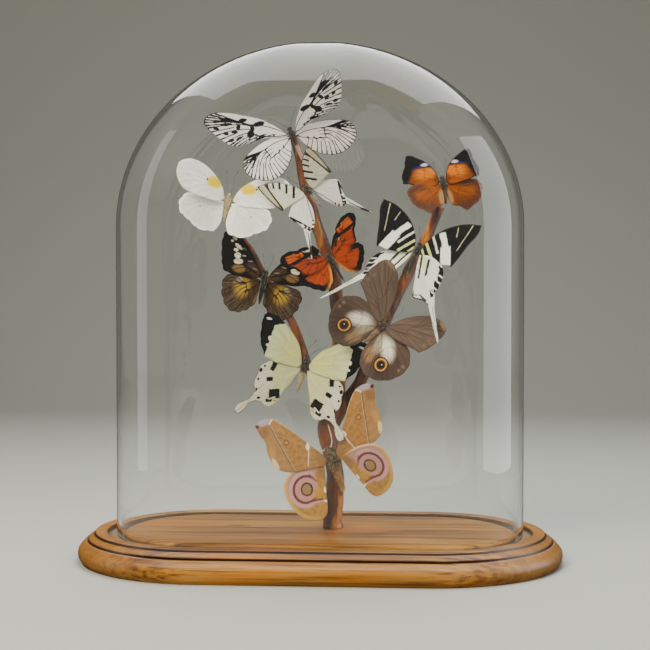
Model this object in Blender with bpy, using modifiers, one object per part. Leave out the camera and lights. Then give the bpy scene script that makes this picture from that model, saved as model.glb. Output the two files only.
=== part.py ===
"""Insects in a glass dome: ten mounted butterflies and moths on a branch, on a moulded oval plinth.

Run with: blender --background --python part.py
Lengths are metres, or millimetres where they are multiplied by MM. X is the width, Y the depth (the front
is at -Y) and Z is up. The origin is on the table, under the middle of the plinth.
"""

import math
from dataclasses import dataclass

import bmesh
import bpy
from mathutils import Matrix, Vector

MM = 0.001
GAP = 0.3 * MM

# Every oval in plan has the same straight stretch between two half circles.
HALF_STRAIGHT = 79.0 * MM
PLINTH_RADIUS = 100.0 * MM
PLINTH_HEIGHT = 22.0 * MM
CHANNEL_DEPTH = 4.0 * MM
CHANNEL_OUTER_RADIUS = 78.4 * MM
PANEL_RADIUS = 65.5 * MM
PLINTH_END_STEPS = 16

DOME_RADIUS = 71.4 * MM
DOME_WALL = 3.4 * MM
DOME_TOP = 381.0 * MM
DOME_ARCH_HEIGHT = 135.0 * MM
DOME_SIDE_ARCH_HEIGHT = 74.0 * MM
DOME_END_STEPS = 14
DOME_ARCH_ANGLES = (0, 11, 22, 33, 43, 53, 62, 70, 77, 83, 87)

WING_THICKNESS = 0.4 * MM
FOREWING_LIFT = 1.3 * MM
HINDWING_LIFT = 0.4 * MM
FACING_TURN = math.radians(4)

COLLECTION_NAME = "insect_in_glass_dome"
CUTTERS_NAME = "cutters"


@dataclass(frozen=True)
class BodySize:
    """The turned body of an insect, in millimetres: radii, and how far each stretch reaches."""

    thorax_radius: float
    thorax_length: float
    head_radius: float
    abdomen_radius: float
    abdomen_length: float


@dataclass(frozen=True)
class WingPose:
    """How one wing sits, in degrees: raised to the back side, swept to the head, and twisted."""

    raised: float
    swept: float
    twisted: float


@dataclass(frozen=True)
class Insect:
    """One mounted insect. Outlines are of its right wings, in millimetres: out from the thorax, and forward.

    A point that ends in True is a sharp corner. Turn, roll and pitch are in degrees, in the plane that faces
    the front, about the body and across it.
    """

    name: str
    centre: tuple
    turn: float
    roll: float
    pitch: float
    body: BodySize
    forewing: tuple
    hindwing: tuple
    left_forewing: WingPose
    right_forewing: WingPose
    left_hindwing: WingPose
    right_hindwing: WingPose
    wing_colour: tuple
    body_colour: tuple


INSECTS = (
    Insect(
        name="tree_nymph",
        centre=(-19.0, -4.5, 312.6),
        turn=23,
        roll=-1,
        pitch=9,
        body=BodySize(2.0, 9.0, 1.5, 1.1, 20.0),
        forewing=(
            (3, 2, True), (10, 10), (19, 19), (29, 25), (40, 31), (50, 35), (58, 35), (62, 32),
            (61, 27), (56, 19), (50, 11), (44, 7.5), (34, 6.5), (22, 6), (10, 3),
        ),
        hindwing=(
            (2.5, -0.5, True), (12, 3.5), (24, 3.5), (35, 1.5), (42, -1), (46, -5), (47, -10),
            (45, -16), (40, -20), (33, -23), (25, -23.5), (18, -21), (11, -16), (6, -9),
        ),
        left_forewing=WingPose(22, 3, 7),
        right_forewing=WingPose(30, 1, 24),
        left_hindwing=WingPose(28, 2, -11),
        right_hindwing=WingPose(24, -3, 12),
        wing_colour=(0.78, 0.72, 0.66, 1),
        body_colour=(0.45, 0.32, 0.26, 1),
    ),
    Insect(
        name="white_sulphur",
        centre=(-66.5, -9.0, 263.2),
        turn=-11,
        roll=3,
        pitch=-7,
        body=BodySize(2.1, 9.0, 1.6, 1.5, 14.0),
        forewing=(
            (3, 3, True), (5.5, 10), (10, 16), (18, 22), (27, 25.5), (36, 25.5), (43, 21.5),
            (44.5, 15), (43, 9), (38, 3.5), (30, 1.5), (20, 0.8), (10, 0.3),
        ),
        hindwing=(
            (3, -0.5, True), (13, 1), (23, 2.5), (31, 1), (35, -3), (36, -8), (34, -13.5, True),
            (30, -16), (25, -19.5), (21, -22.5, True), (14, -23), (8, -21.5), (4, -16), (3, -8),
        ),
        left_forewing=WingPose(31, -3, -6),
        right_forewing=WingPose(18, -2, -6),
        left_hindwing=WingPose(17, -3, -7),
        right_hindwing=WingPose(18, -5, -10),
        wing_colour=(0.80, 0.80, 0.72, 1),
        body_colour=(0.62, 0.48, 0.34, 1),
    ),
    Insect(
        name="striped_swordtail",
        centre=(-7.3, -12.0, 272.1),
        turn=39,
        roll=-3,
        pitch=4,
        body=BodySize(1.9, 7.0, 1.4, 1.2, 12.0),
        forewing=(
            (3.5, 1.5, True), (5.5, 8), (9, 14), (13, 19), (19, 23), (27, 26, True), (27.5, 19),
            (27, 10), (26, 0.5, True), (19, 0.5), (11, -0.5), (5, -1),
        ),
        hindwing=(
            (4, -1.5, True), (11, -1), (18, -3), (24, -7), (23.5, -12), (21, -18), (20, -24),
            (23.6, -31.5), (30, -41), (29, -41.6), (21.9, -32.2), (17.5, -26.2), (12, -23), (8, -18),
            (5, -11),
        ),
        left_forewing=WingPose(24, -1, -8),
        right_forewing=WingPose(33, -2, 13),
        left_hindwing=WingPose(25, 3, -1),
        right_hindwing=WingPose(28, -1, 2),
        wing_colour=(0.66, 0.66, 0.50, 1),
        body_colour=(0.10, 0.09, 0.09, 1),
    ),
    Insect(
        name="orange_leafwing",
        centre=(91.2, -10.0, 275.8),
        turn=8,
        roll=-4,
        pitch=2,
        body=BodySize(1.9, 8.0, 1.4, 1.3, 10.0),
        forewing=(
            (2.5, 3, True), (4.5, 9), (8, 14.5), (14, 19), (20, 22), (26, 23.5, True), (27.5, 20),
            (28.5, 15), (31, 10), (31, 4, True), (24, 3), (15, 2), (7, 1.2),
        ),
        hindwing=(
            (2.5, -1, True), (10, 0.5), (19, 1.5), (26, 0.5), (30, -3), (29, -9), (26, -14),
            (21, -17), (15, -20.5, True), (11, -17), (6, -15.5), (2.5, -13.5), (1.5, -7),
        ),
        left_forewing=WingPose(24, 1, 1),
        right_forewing=WingPose(35, -2, 8),
        left_hindwing=WingPose(29, 2, -14),
        right_hindwing=WingPose(30, -2, 9),
        wing_colour=(0.36, 0.13, 0.03, 1),
        body_colour=(0.16, 0.08, 0.04, 1),
    ),
    Insect(
        name="brown_clipper",
        centre=(-40.9, 1.0, 206.7),
        turn=-12,
        roll=3,
        pitch=7,
        body=BodySize(2.1, 9.0, 1.6, 1.5, 13.0),
        forewing=(
            (2.5, 3, True), (5, 8), (10, 15), (16, 22), (23, 28), (31, 31.5), (35.5, 29), (36, 22),
            (34.5, 13), (33, 7), (30, 2.5), (20, 1.8), (11, 1.2),
        ),
        hindwing=(
            (2.5, -1.5, True), (14, 0), (24, 0), (29.5, -2.5), (30, -9), (29, -15), (26, -21),
            (22, -25), (17, -26), (12, -24.5), (8, -22), (4, -17), (2.5, -10),
        ),
        left_forewing=WingPose(12, 0, -2),
        right_forewing=WingPose(10, 2, -1),
        left_hindwing=WingPose(14, -1, -3),
        right_hindwing=WingPose(10, -5, 14),
        wing_colour=(0.12, 0.07, 0.04, 1),
        body_colour=(0.05, 0.04, 0.04, 1),
    ),
    Insect(
        name="orange_longwing",
        centre=(10.0, -10.0, 220.5),
        turn=32,
        roll=-2,
        pitch=3,
        body=BodySize(2.0, 7.0, 1.5, 1.1, 13.0),
        forewing=(
            (2.5, 3, True), (6, 9), (11, 14), (17, 19), (25, 22.5), (32, 22), (34, 18.5), (31.5, 14),
            (27, 9.5), (24, 3.5), (16, 1.5), (9, 1.2),
        ),
        hindwing=(
            (2.5, -1, True), (12, 1.5), (21, 2.5), (26.5, 1.5), (27.5, -2.5), (25, -7),
            (21, -11.5), (16, -15.5), (11.5, -15.5), (7, -12), (4, -7),
        ),
        left_forewing=WingPose(21, 0, 6),
        right_forewing=WingPose(17, 2, 2),
        left_hindwing=WingPose(18, 2, -2),
        right_hindwing=WingPose(27, -1, 3),
        wing_colour=(0.48, 0.11, 0.02, 1),
        body_colour=(0.04, 0.03, 0.03, 1),
    ),
    Insect(
        name="zebra_swordtail",
        centre=(72.6, -10.0, 227.2),
        turn=-15,
        roll=-24,
        pitch=-18,
        body=BodySize(2.0, 9.0, 1.5, 1.4, 18.0),
        forewing=(
            (2.5, 1, True), (4, 8), (8, 15), (13, 21), (20, 26), (29, 30), (39, 31.5, True),
            (39, 24), (35.5, 14), (32.5, 3), (30, -5, True), (22, -5), (12, -3.5), (5, -1.5),
        ),
        hindwing=(
            (3, -3, True), (13, -3.5), (21, -7), (27, -12), (29.5, -19), (28, -27), (25, -32),
            (27.4, -41), (33.6, -53), (41.5, -66.5), (40.2, -67), (31.4, -53.4), (23.6, -42.2), (15, -37),
            (7, -36, True), (6, -30), (4.5, -20), (3, -11),
        ),
        left_forewing=WingPose(8, 1, 0),
        right_forewing=WingPose(3, -1, -1),
        left_hindwing=WingPose(-9, 10, -17),
        right_hindwing=WingPose(21, 2, 6),
        wing_colour=(0.60, 0.60, 0.46, 1),
        body_colour=(0.06, 0.05, 0.05, 1),
    ),
    Insect(
        name="eyespot_butterfly",
        centre=(47.4, -20.5, 173.2),
        turn=-48,
        roll=-3,
        pitch=3,
        body=BodySize(2.0, 9.0, 1.5, 1.4, 14.0),
        forewing=(
            (2.5, 2.5, True), (5, 11), (9, 19), (15, 27), (22, 33), (31, 35.5), (36.5, 33),
            (38, 26), (37.5, 17), (35, 9, True), (26, 6), (17, 3.2), (8, 1),
        ),
        hindwing=(
            (2.5, -1.5, True), (12, 1.5), (22, 3), (31, 0.5), (36, -5), (37, -12), (34.5, -20),
            (29, -27), (21, -31.5), (13, -31), (7, -27), (3, -19), (1.5, -10),
        ),
        left_forewing=WingPose(17, 1, 3),
        right_forewing=WingPose(26, -2, 6),
        left_hindwing=WingPose(21, -1, -4),
        right_hindwing=WingPose(21, 0, 0),
        wing_colour=(0.20, 0.13, 0.09, 1),
        body_colour=(0.12, 0.07, 0.04, 1),
    ),
    Insect(
        name="cream_swallowtail",
        centre=(-10.3, -3.5, 143.6),
        turn=-16,
        roll=1,
        pitch=3,
        body=BodySize(2.2, 10.0, 1.6, 1.4, 15.0),
        forewing=(
            (3, 2, True), (6, 8.5), (10, 15), (16, 21), (24, 26.5), (34, 30.5), (41, 31, True),
            (42.5, 27), (41.5, 18), (39, 9.5), (33, 0.5, True), (25, -1), (15, -1.8), (6, -1.5),
        ),
        hindwing=(
            (2.5, -3, True), (11, -3), (20, -2.5), (27, -2.5), (33, -8), (34.5, -16), (34, -22),
            (32, -26.5), (35.2, -31.6), (43, -40), (43.5, -44), (39.5, -43.5), (32.8, -33.8),
            (27, -32.5), (20, -34.5), (14, -30), (11, -22.5), (7, -14),
        ),
        left_forewing=WingPose(24, 1, 1),
        right_forewing=WingPose(21, -2, 5),
        left_hindwing=WingPose(23, 0, -1),
        right_hindwing=WingPose(20, 0, -1),
        wing_colour=(0.60, 0.57, 0.34, 1),
        body_colour=(0.08, 0.06, 0.05, 1),
    ),
    Insect(
        name="emperor_moth",
        centre=(10.1, -6.5, 75.0),
        turn=20,
        roll=1,
        pitch=4,
        body=BodySize(3.2, 13.0, 2.0, 2.6, 22.0),
        forewing=(
            (4, 3, True), (10, 12), (17, 23), (25, 35), (33, 44), (41, 46.5), (48, 45, True),
            (46.5, 37), (44.5, 30), (45.5, 22), (43.5, 11), (37, 5), (26, 2.5), (15, 0.8),
            (7, -0.5),
        ),
        hindwing=(
            (7, -1.5, True), (15, 1), (26, 3), (36, 2.5), (42, -3), (43.5, -11), (42, -20),
            (38, -29), (31, -35), (22, -37.5), (17, -34), (14, -24), (11, -15),
        ),
        left_forewing=WingPose(22, 1, 1),
        right_forewing=WingPose(16, -1, -1),
        left_hindwing=WingPose(22, 0, 0),
        right_hindwing=WingPose(27, 1, 8),
        wing_colour=(0.52, 0.29, 0.11, 1),
        body_colour=(0.34, 0.16, 0.06, 1),
    ),
)

# The branch: points and radii in millimetres, from the foot up.
TRUNK = (
    ((9.5, 7.0, 22.3), 7.4),
    ((9.5, 7.0, 28.0), 6.8),
    ((11.6, 5.5, 62.4), 6.6),
    ((6.5, 5.0, 95.2), 7.0),
    ((13.0, 5.0, 122.0), 6.4),
    ((15.4, 3.0, 162.4), 5.6),
    ((13.0, 0.5, 191.3), 5.2),
    ((9.7, -1.2, 215.7), 4.9),
    ((0.5, -0.5, 240.9), 4.6),
    ((-9.4, 2.0, 272.1), 4.1),
    ((-14.8, 3.5, 297.0), 3.5),
    ((-19.1, 3.0, 313.0), 2.9),
)
RIGHT_FORK = (
    ((12.0, 5.0, 104.0), 4.6),
    ((31.0, 0.5, 132.7), 4.6),
    ((46.8, -9.5, 170.1), 4.3),
    ((56.3, -7.5, 192.1), 4.2),
    ((70.9, -2.2, 221.5), 3.9),
    ((81.8, -3.0, 243.4), 3.6),
    ((89.0, -3.4, 260.5), 3.4),
)
LEFT_FORK = (
    ((6.0, 5.2, 100.0), 3.9),
    ((-1.2, 6.0, 123.4), 3.9),
    ((-10.0, 8.5, 145.8), 3.4),
    ((-21.3, 11.5, 175.6), 3.1),
    ((-39.5, 8.5, 206.2), 2.7),
    ((-51.1, 3.0, 229.1), 2.5),
    ((-58.1, -0.5, 240.1), 2.3),
    ((-65.0, -4.0, 262.5), 2.1),
)


def clear_scene():
    """Remove every object and every collection that the scene starts with."""
    for obj in list(bpy.data.objects):
        bpy.data.objects.remove(obj, do_unlink=True)
    for collection in list(bpy.data.collections):
        bpy.data.collections.remove(collection)


def new_collection(name):
    collection = bpy.data.collections.new(name)
    bpy.context.scene.collection.children.link(collection)
    return collection


def new_material(name, colour, roughness, transmission=0.0):
    material = bpy.data.materials.new(name)
    material.use_nodes = True
    shader = material.node_tree.nodes["Principled BSDF"]
    shader.inputs["Base Color"].default_value = colour
    shader.inputs["Roughness"].default_value = roughness
    shader.inputs["Transmission Weight"].default_value = transmission
    material.diffuse_color = colour
    return material


def add_object(name, data, collection, material):
    obj = bpy.data.objects.new(name, data)
    collection.objects.link(obj)
    data.materials.append(material)
    return obj


def oval_loop(radius, height, end_steps, half_straight=HALF_STRAIGHT):
    """Corners of a level oval: two half circles of the radius, joined by straight stretches."""
    corners = []
    for end in (1, -1):
        for step in range(end_steps + 1):
            angle = math.pi * (step / end_steps - 0.5) + (0 if end == 1 else math.pi)
            x = end * half_straight + radius * math.cos(angle)
            corners.append(Vector((x, radius * math.sin(angle), height)))
    return corners


def loft(name, loops, collection, material, close_start=True, close_end=True):
    """A solid through level loops that all have the same number of corners, listed from the first cap on."""
    mesh = bpy.data.meshes.new(name)
    shape = bmesh.new()
    rings = [[shape.verts.new(corner) for corner in loop] for loop in loops]
    count = len(rings[0])
    for lower, upper in zip(rings, rings[1:]):
        for i in range(count):
            j = (i + 1) % count
            shape.faces.new((lower[i], lower[j], upper[j], upper[i]))
    if close_start:
        shape.faces.new(list(reversed(rings[0])))
    if close_end:
        shape.faces.new(rings[-1])
    bmesh.ops.recalc_face_normals(shape, faces=shape.faces)
    for face in shape.faces:
        face.smooth = len(face.verts) == 4
    shape.to_mesh(mesh)
    shape.free()
    return add_object(name, mesh, collection, material)


def build_plinth(collection):
    """The moulded board: rounded edge, step, cove, flat ring, channel for the glass, and raised panel."""
    top = PLINTH_HEIGHT
    floor = PLINTH_HEIGHT - CHANNEL_DEPTH
    edge = PLINTH_RADIUS
    outer = CHANNEL_OUTER_RADIUS
    panel = PANEL_RADIUS
    profile = (
        (edge - 2.0 * MM, 0.0),
        (edge - 0.4 * MM, 1.2 * MM),
        (edge, 3.5 * MM),
        (edge, 8.5 * MM),
        (edge - 0.9 * MM, 11.8 * MM),
        (edge - 3.2 * MM, 14.6 * MM),
        (edge - 6.4 * MM, 15.8 * MM),
        (edge - 7.4 * MM, 15.0 * MM),
        (edge - 7.6 * MM, 17.4 * MM),
        (edge - 9.4 * MM, 18.2 * MM),
        (edge - 11.6 * MM, 19.6 * MM),
        (edge - 13.2 * MM, top - 0.5 * MM),
        (edge - 13.8 * MM, top),
        (outer + 0.6 * MM, top),
        (outer, top - 0.6 * MM),
        (outer, floor),
        (panel, floor),
        (panel - 0.5 * MM, top - 1.8 * MM),
        (panel - 2.0 * MM, top - 0.5 * MM),
        (panel - 4.5 * MM, top),
    )
    wood = new_material("oiled wood", (0.45, 0.22, 0.075, 1), 0.42)
    loops = [oval_loop(radius, height, PLINTH_END_STEPS) for radius, height in profile]
    return loft("wooden_base", loops, collection, wood)


def dome_loops(inset):
    """Level ovals of the dome's outer wall, or of its inner one when inset is the wall's thickness.

    The front view is an elliptical arch over straight walls, and the side view is a narrower arch.
    """
    foot = PLINTH_HEIGHT - CHANNEL_DEPTH + GAP
    radius = DOME_RADIUS - inset
    half_width = HALF_STRAIGHT + radius
    arch = DOME_ARCH_HEIGHT - inset
    side_arch = DOME_SIDE_ARCH_HEIGHT - inset
    spring = DOME_TOP - DOME_ARCH_HEIGHT
    side_spring = DOME_TOP - DOME_SIDE_ARCH_HEIGHT
    loops = [oval_loop(radius, foot, DOME_END_STEPS)]
    for angle in DOME_ARCH_ANGLES:
        height = spring + arch * math.sin(math.radians(angle))
        across = half_width * math.cos(math.radians(angle))
        rise = max(0.0, (height - side_spring) / side_arch)
        deep = radius * math.sqrt(1 - rise * rise)
        loops.append(oval_loop(deep, height, DOME_END_STEPS, across - deep))
    return loops


def build_dome(collection):
    """The glass dome: an open bell whose outer and inner walls meet in a flat rim."""
    glass = new_material("clear glass", (0.95, 0.97, 0.95, 1), 0.02, transmission=1.0)
    outer = dome_loops(0.0)
    inner = dome_loops(DOME_WALL)
    return loft("glass_dome", list(reversed(outer)) + inner, collection, glass)


def tube(name, points, collection, material, extra_radius=0.0):
    """A branch of round section through the points, as a curve with filled caps."""
    curve = bpy.data.curves.new(name, "CURVE")
    curve.dimensions = "3D"
    curve.resolution_u = 2
    curve.bevel_depth = MM
    curve.bevel_resolution = 2
    curve.use_fill_caps = True
    spline = curve.splines.new("BEZIER")
    spline.bezier_points.add(len(points) - 1)
    for point, (place, radius) in zip(spline.bezier_points, points):
        point.co = Vector(place) * MM
        point.radius = radius + extra_radius / MM
        point.handle_left_type = "AUTO"
        point.handle_right_type = "AUTO"
    return add_object(name, curve, collection, material)


def as_mesh(curve_object, collection):
    """The same shape as a mesh object with its caps welded on, in place of the curve."""
    graph = bpy.context.evaluated_depsgraph_get()
    mesh = bpy.data.meshes.new_from_object(curve_object.evaluated_get(graph))
    shape = bmesh.new()
    shape.from_mesh(mesh)
    bmesh.ops.remove_doubles(shape, verts=shape.verts, dist=0.01 * MM)
    bmesh.ops.recalc_face_normals(shape, faces=shape.faces)
    shape.to_mesh(mesh)
    shape.free()
    mesh.polygons.foreach_set("use_smooth", [True] * len(mesh.polygons))
    name = curve_object.name
    matrix = curve_object.matrix_world.copy()
    bpy.data.objects.remove(curve_object, do_unlink=True)
    obj = bpy.data.objects.new(name, mesh)
    obj.matrix_world = matrix
    collection.objects.link(obj)
    return obj


def build_branch(collection, cutters):
    """The trunk, and two forks that are cut to the trunk's side with a small gap."""
    bark = new_material("bare branch wood", (0.20, 0.07, 0.03, 1), 0.35)
    trunk = as_mesh(tube("branch_trunk", TRUNK, collection, bark), collection)
    cutter = as_mesh(tube("trunk_cutter", TRUNK, cutters, bark, extra_radius=GAP), cutters)
    cutter.hide_render = True
    cutter.display_type = "WIRE"
    forks = []
    for name, points in (("branch_right_fork", RIGHT_FORK), ("branch_left_fork", LEFT_FORK)):
        fork = as_mesh(tube(name, points, collection, bark), collection)
        cut = fork.modifiers.new("cut to the trunk", "BOOLEAN")
        cut.operation = "DIFFERENCE"
        cut.solver = "EXACT"
        cut.object = cutter
        forks.append(fork)
    return trunk, forks


def insect_frame(insect):
    """World matrix of an insect: X to its right, Y to its head and Z out of its back."""
    facing = Matrix.Rotation(FACING_TURN, 4, "Z") @ Matrix.Rotation(math.radians(90), 4, "X")
    turned = Matrix.Rotation(math.radians(insect.turn), 4, "Z")
    rolled = Matrix.Rotation(math.radians(insect.roll), 4, "Y")
    pitched = Matrix.Rotation(math.radians(insect.pitch), 4, "X")
    return Matrix.Translation(Vector(insect.centre) * MM) @ facing @ turned @ rolled @ pitched


def wing_frame(pose, side):
    """Matrix of a wing in its insect's frame; side is 1 for the right wing and -1 for the left."""
    raised = Matrix.Rotation(math.radians(-side * pose.raised), 4, "Y")
    twisted = Matrix.Rotation(math.radians(pose.twisted), 4, "X")
    swept = Matrix.Rotation(math.radians(side * pose.swept), 4, "Z")
    return raised @ twisted @ swept


def build_wing(name, outline, side, collection, material):
    """A thin plate with the wing's outline, as a filled 2D curve."""
    curve = bpy.data.curves.new(name, "CURVE")
    curve.dimensions = "2D"
    curve.fill_mode = "BOTH"
    curve.extrude = WING_THICKNESS / 2
    curve.resolution_u = 2
    spline = curve.splines.new("BEZIER")
    spline.bezier_points.add(len(outline) - 1)
    for point, corner in zip(spline.bezier_points, outline):
        point.co = Vector((side * corner[0], corner[1], 0)) * MM
        handle = "VECTOR" if len(corner) == 3 else "AUTO"
        point.handle_left_type = handle
        point.handle_right_type = handle
    spline.use_cyclic_u = True
    return add_object(name, curve, collection, material)


def build_body(name, size, collection, material):
    """Head, thorax and abdomen, turned as one piece about the body's own length."""
    front = size.thorax_length / 2
    rear = -front
    tail = rear - size.abdomen_length
    profile = (
        (0.0, front + 2 * size.head_radius),
        (size.head_radius * 0.9, front + 1.5 * size.head_radius),
        (size.head_radius, front + 0.7 * size.head_radius),
        (size.thorax_radius * 0.6, front),
        (size.thorax_radius, front * 0.4),
        (size.thorax_radius, rear * 0.6),
        (size.abdomen_radius * 0.75, rear),
        (size.abdomen_radius, rear - 0.35 * size.abdomen_length),
        (size.abdomen_radius * 0.7, tail + 0.12 * size.abdomen_length),
        (0.0, tail),
    )
    mesh = bpy.data.meshes.new(name)
    points = [(radius * MM, 0.0, along * MM) for radius, along in profile]
    mesh.from_pydata(points, [(i, i + 1) for i in range(len(points) - 1)], [])
    body = add_object(name, mesh, collection, material)
    screw = body.modifiers.new("turned", "SCREW")
    screw.axis = "Z"
    screw.steps = 8
    screw.render_steps = 8
    screw.use_merge_vertices = True
    screw.merge_threshold = 0.01 * MM
    screw.use_smooth_shade = True
    return body


def build_insect(insect, collection):
    """An insect's body and four wings, each its own object, placed in the insect's frame."""
    frame = insect_frame(insect)
    wing_material = new_material(insect.name + " wings", insect.wing_colour, 0.6)
    body_material = new_material(insect.name + " body", insect.body_colour, 0.8)
    body = build_body(insect.name + "_body", insect.body, collection, body_material)
    body.matrix_world = frame @ Matrix.Rotation(math.radians(-90), 4, "X")
    wings = (
        ("left_forewing", insect.forewing, insect.left_forewing, -1, FOREWING_LIFT),
        ("right_forewing", insect.forewing, insect.right_forewing, 1, FOREWING_LIFT),
        ("left_hindwing", insect.hindwing, insect.left_hindwing, -1, HINDWING_LIFT),
        ("right_hindwing", insect.hindwing, insect.right_hindwing, 1, HINDWING_LIFT),
    )
    for part_name, outline, pose, side, lift in wings:
        wing = build_wing(f"{insect.name}_{part_name}", outline, side, collection, wing_material)
        wing.matrix_world = frame @ Matrix.Translation((0, 0, lift)) @ wing_frame(pose, side)


def main():
    clear_scene()
    collection = new_collection(COLLECTION_NAME)
    cutters = new_collection(CUTTERS_NAME)
    build_plinth(collection)
    build_dome(collection)
    build_branch(collection, cutters)
    for insect in INSECTS:
        build_insect(insect, collection)


main()
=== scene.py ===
"""Looks of the glass dome with ten mounted butterflies and moths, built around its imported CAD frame.

Lengths are metres, or millimetres where a name or a comment says so and they are multiplied by MM.
The insects' own coordinates are those of a pinned specimen: X to its right, Y to its head, Z out of its back.
"""

import logging
import math
from dataclasses import dataclass
from enum import IntEnum
from typing import Optional, Sequence

import bmesh
import bpy
import numpy as np
from mathutils import Matrix, Vector
from mathutils.geometry import delaunay_2d_cdt


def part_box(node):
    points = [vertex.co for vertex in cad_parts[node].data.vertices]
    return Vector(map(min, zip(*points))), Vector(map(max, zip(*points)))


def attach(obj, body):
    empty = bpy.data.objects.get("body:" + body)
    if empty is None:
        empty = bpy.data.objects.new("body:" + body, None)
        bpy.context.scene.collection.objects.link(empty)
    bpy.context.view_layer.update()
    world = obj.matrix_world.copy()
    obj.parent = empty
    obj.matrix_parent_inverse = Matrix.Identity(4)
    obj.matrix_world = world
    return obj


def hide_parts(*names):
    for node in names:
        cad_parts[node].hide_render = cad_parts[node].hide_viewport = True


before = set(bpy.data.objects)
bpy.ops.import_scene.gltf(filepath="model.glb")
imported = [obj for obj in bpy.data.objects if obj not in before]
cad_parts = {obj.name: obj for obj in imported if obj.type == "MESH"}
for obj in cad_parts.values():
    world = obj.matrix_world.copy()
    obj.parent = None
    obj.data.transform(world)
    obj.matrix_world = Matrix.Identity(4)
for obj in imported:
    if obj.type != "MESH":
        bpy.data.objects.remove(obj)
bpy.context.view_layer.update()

MM = 0.001
BODY = "root"
ABDOMEN_RINGS = 95.0
LOG = logging.getLogger("glass_dome")
# Colours are given as they look in room light. The studio lamps are brighter, so linear() makes each colour
# deeper by this power of its lightness, and this much further from grey.
DEPTH = 0.22
RICHNESS = 1.15
RED_SHARE, GREEN_SHARE, BLUE_SHARE = 0.2126, 0.7152, 0.0722

Point = tuple[float, float]


def linear(code: str) -> tuple[float, float, float, float]:
    """Turn a hex colour into the linear RGBA that shaders take.

    Args:
        code: the colour as "#rrggbb".

    Returns:
        Red, green, blue and an alpha of 1.
    """
    parts = [int(code[i : i + 2], 16) / 255 for i in (1, 3, 5)]
    toe = [c / 12.92 if c <= 0.04045 else ((c + 0.055) / 1.055) ** 2.4 for c in parts]
    light = RED_SHARE * toe[0] + GREEN_SHARE * toe[1] + BLUE_SHARE * toe[2]
    deep = [max(0.0, light + (c - light) * RICHNESS) * light**DEPTH for c in toe]
    return (deep[0], deep[1], deep[2], 1.0)


# ---------------------------------------------------------------------------------------------------------
# Shader graphs written as sums
# ---------------------------------------------------------------------------------------------------------


class Value:
    """A shader socket that takes part in Python sums by adding Math nodes."""

    def __init__(self, graph: "Graph", socket):
        self.graph = graph
        self.socket = socket

    def __add__(self, other):
        return self.graph.math("ADD", self, other)

    __radd__ = __add__

    def __sub__(self, other):
        return self.graph.math("SUBTRACT", self, other)

    def __rsub__(self, other):
        return self.graph.math("SUBTRACT", other, self)

    def __mul__(self, other):
        return self.graph.math("MULTIPLY", self, other)

    __rmul__ = __mul__

    def __truediv__(self, other):
        return self.graph.math("DIVIDE", self, other)

    def most(self, other):
        return self.graph.math("MAXIMUM", self, other)

    def size(self):
        return self.graph.math("ABSOLUTE", self)

    def sine(self):
        return self.graph.math("SINE", self)

    def ramp(self, start: float, end: float):
        """0 up to start, 1 from end on, and a smooth rise between; start may be above end for a fall."""
        node = self.graph.node("ShaderNodeMapRange", interpolation_type="SMOOTHSTEP")
        falling = start > end
        low, high = (end, start) if falling else (start, end)
        self.graph.feed(node.inputs["Value"], self)
        node.inputs["From Min"].default_value = low
        node.inputs["From Max"].default_value = high
        node.inputs["To Min"].default_value = 1.0 if falling else 0.0
        node.inputs["To Max"].default_value = 0.0 if falling else 1.0
        return Value(self.graph, node.outputs["Result"])


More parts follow.
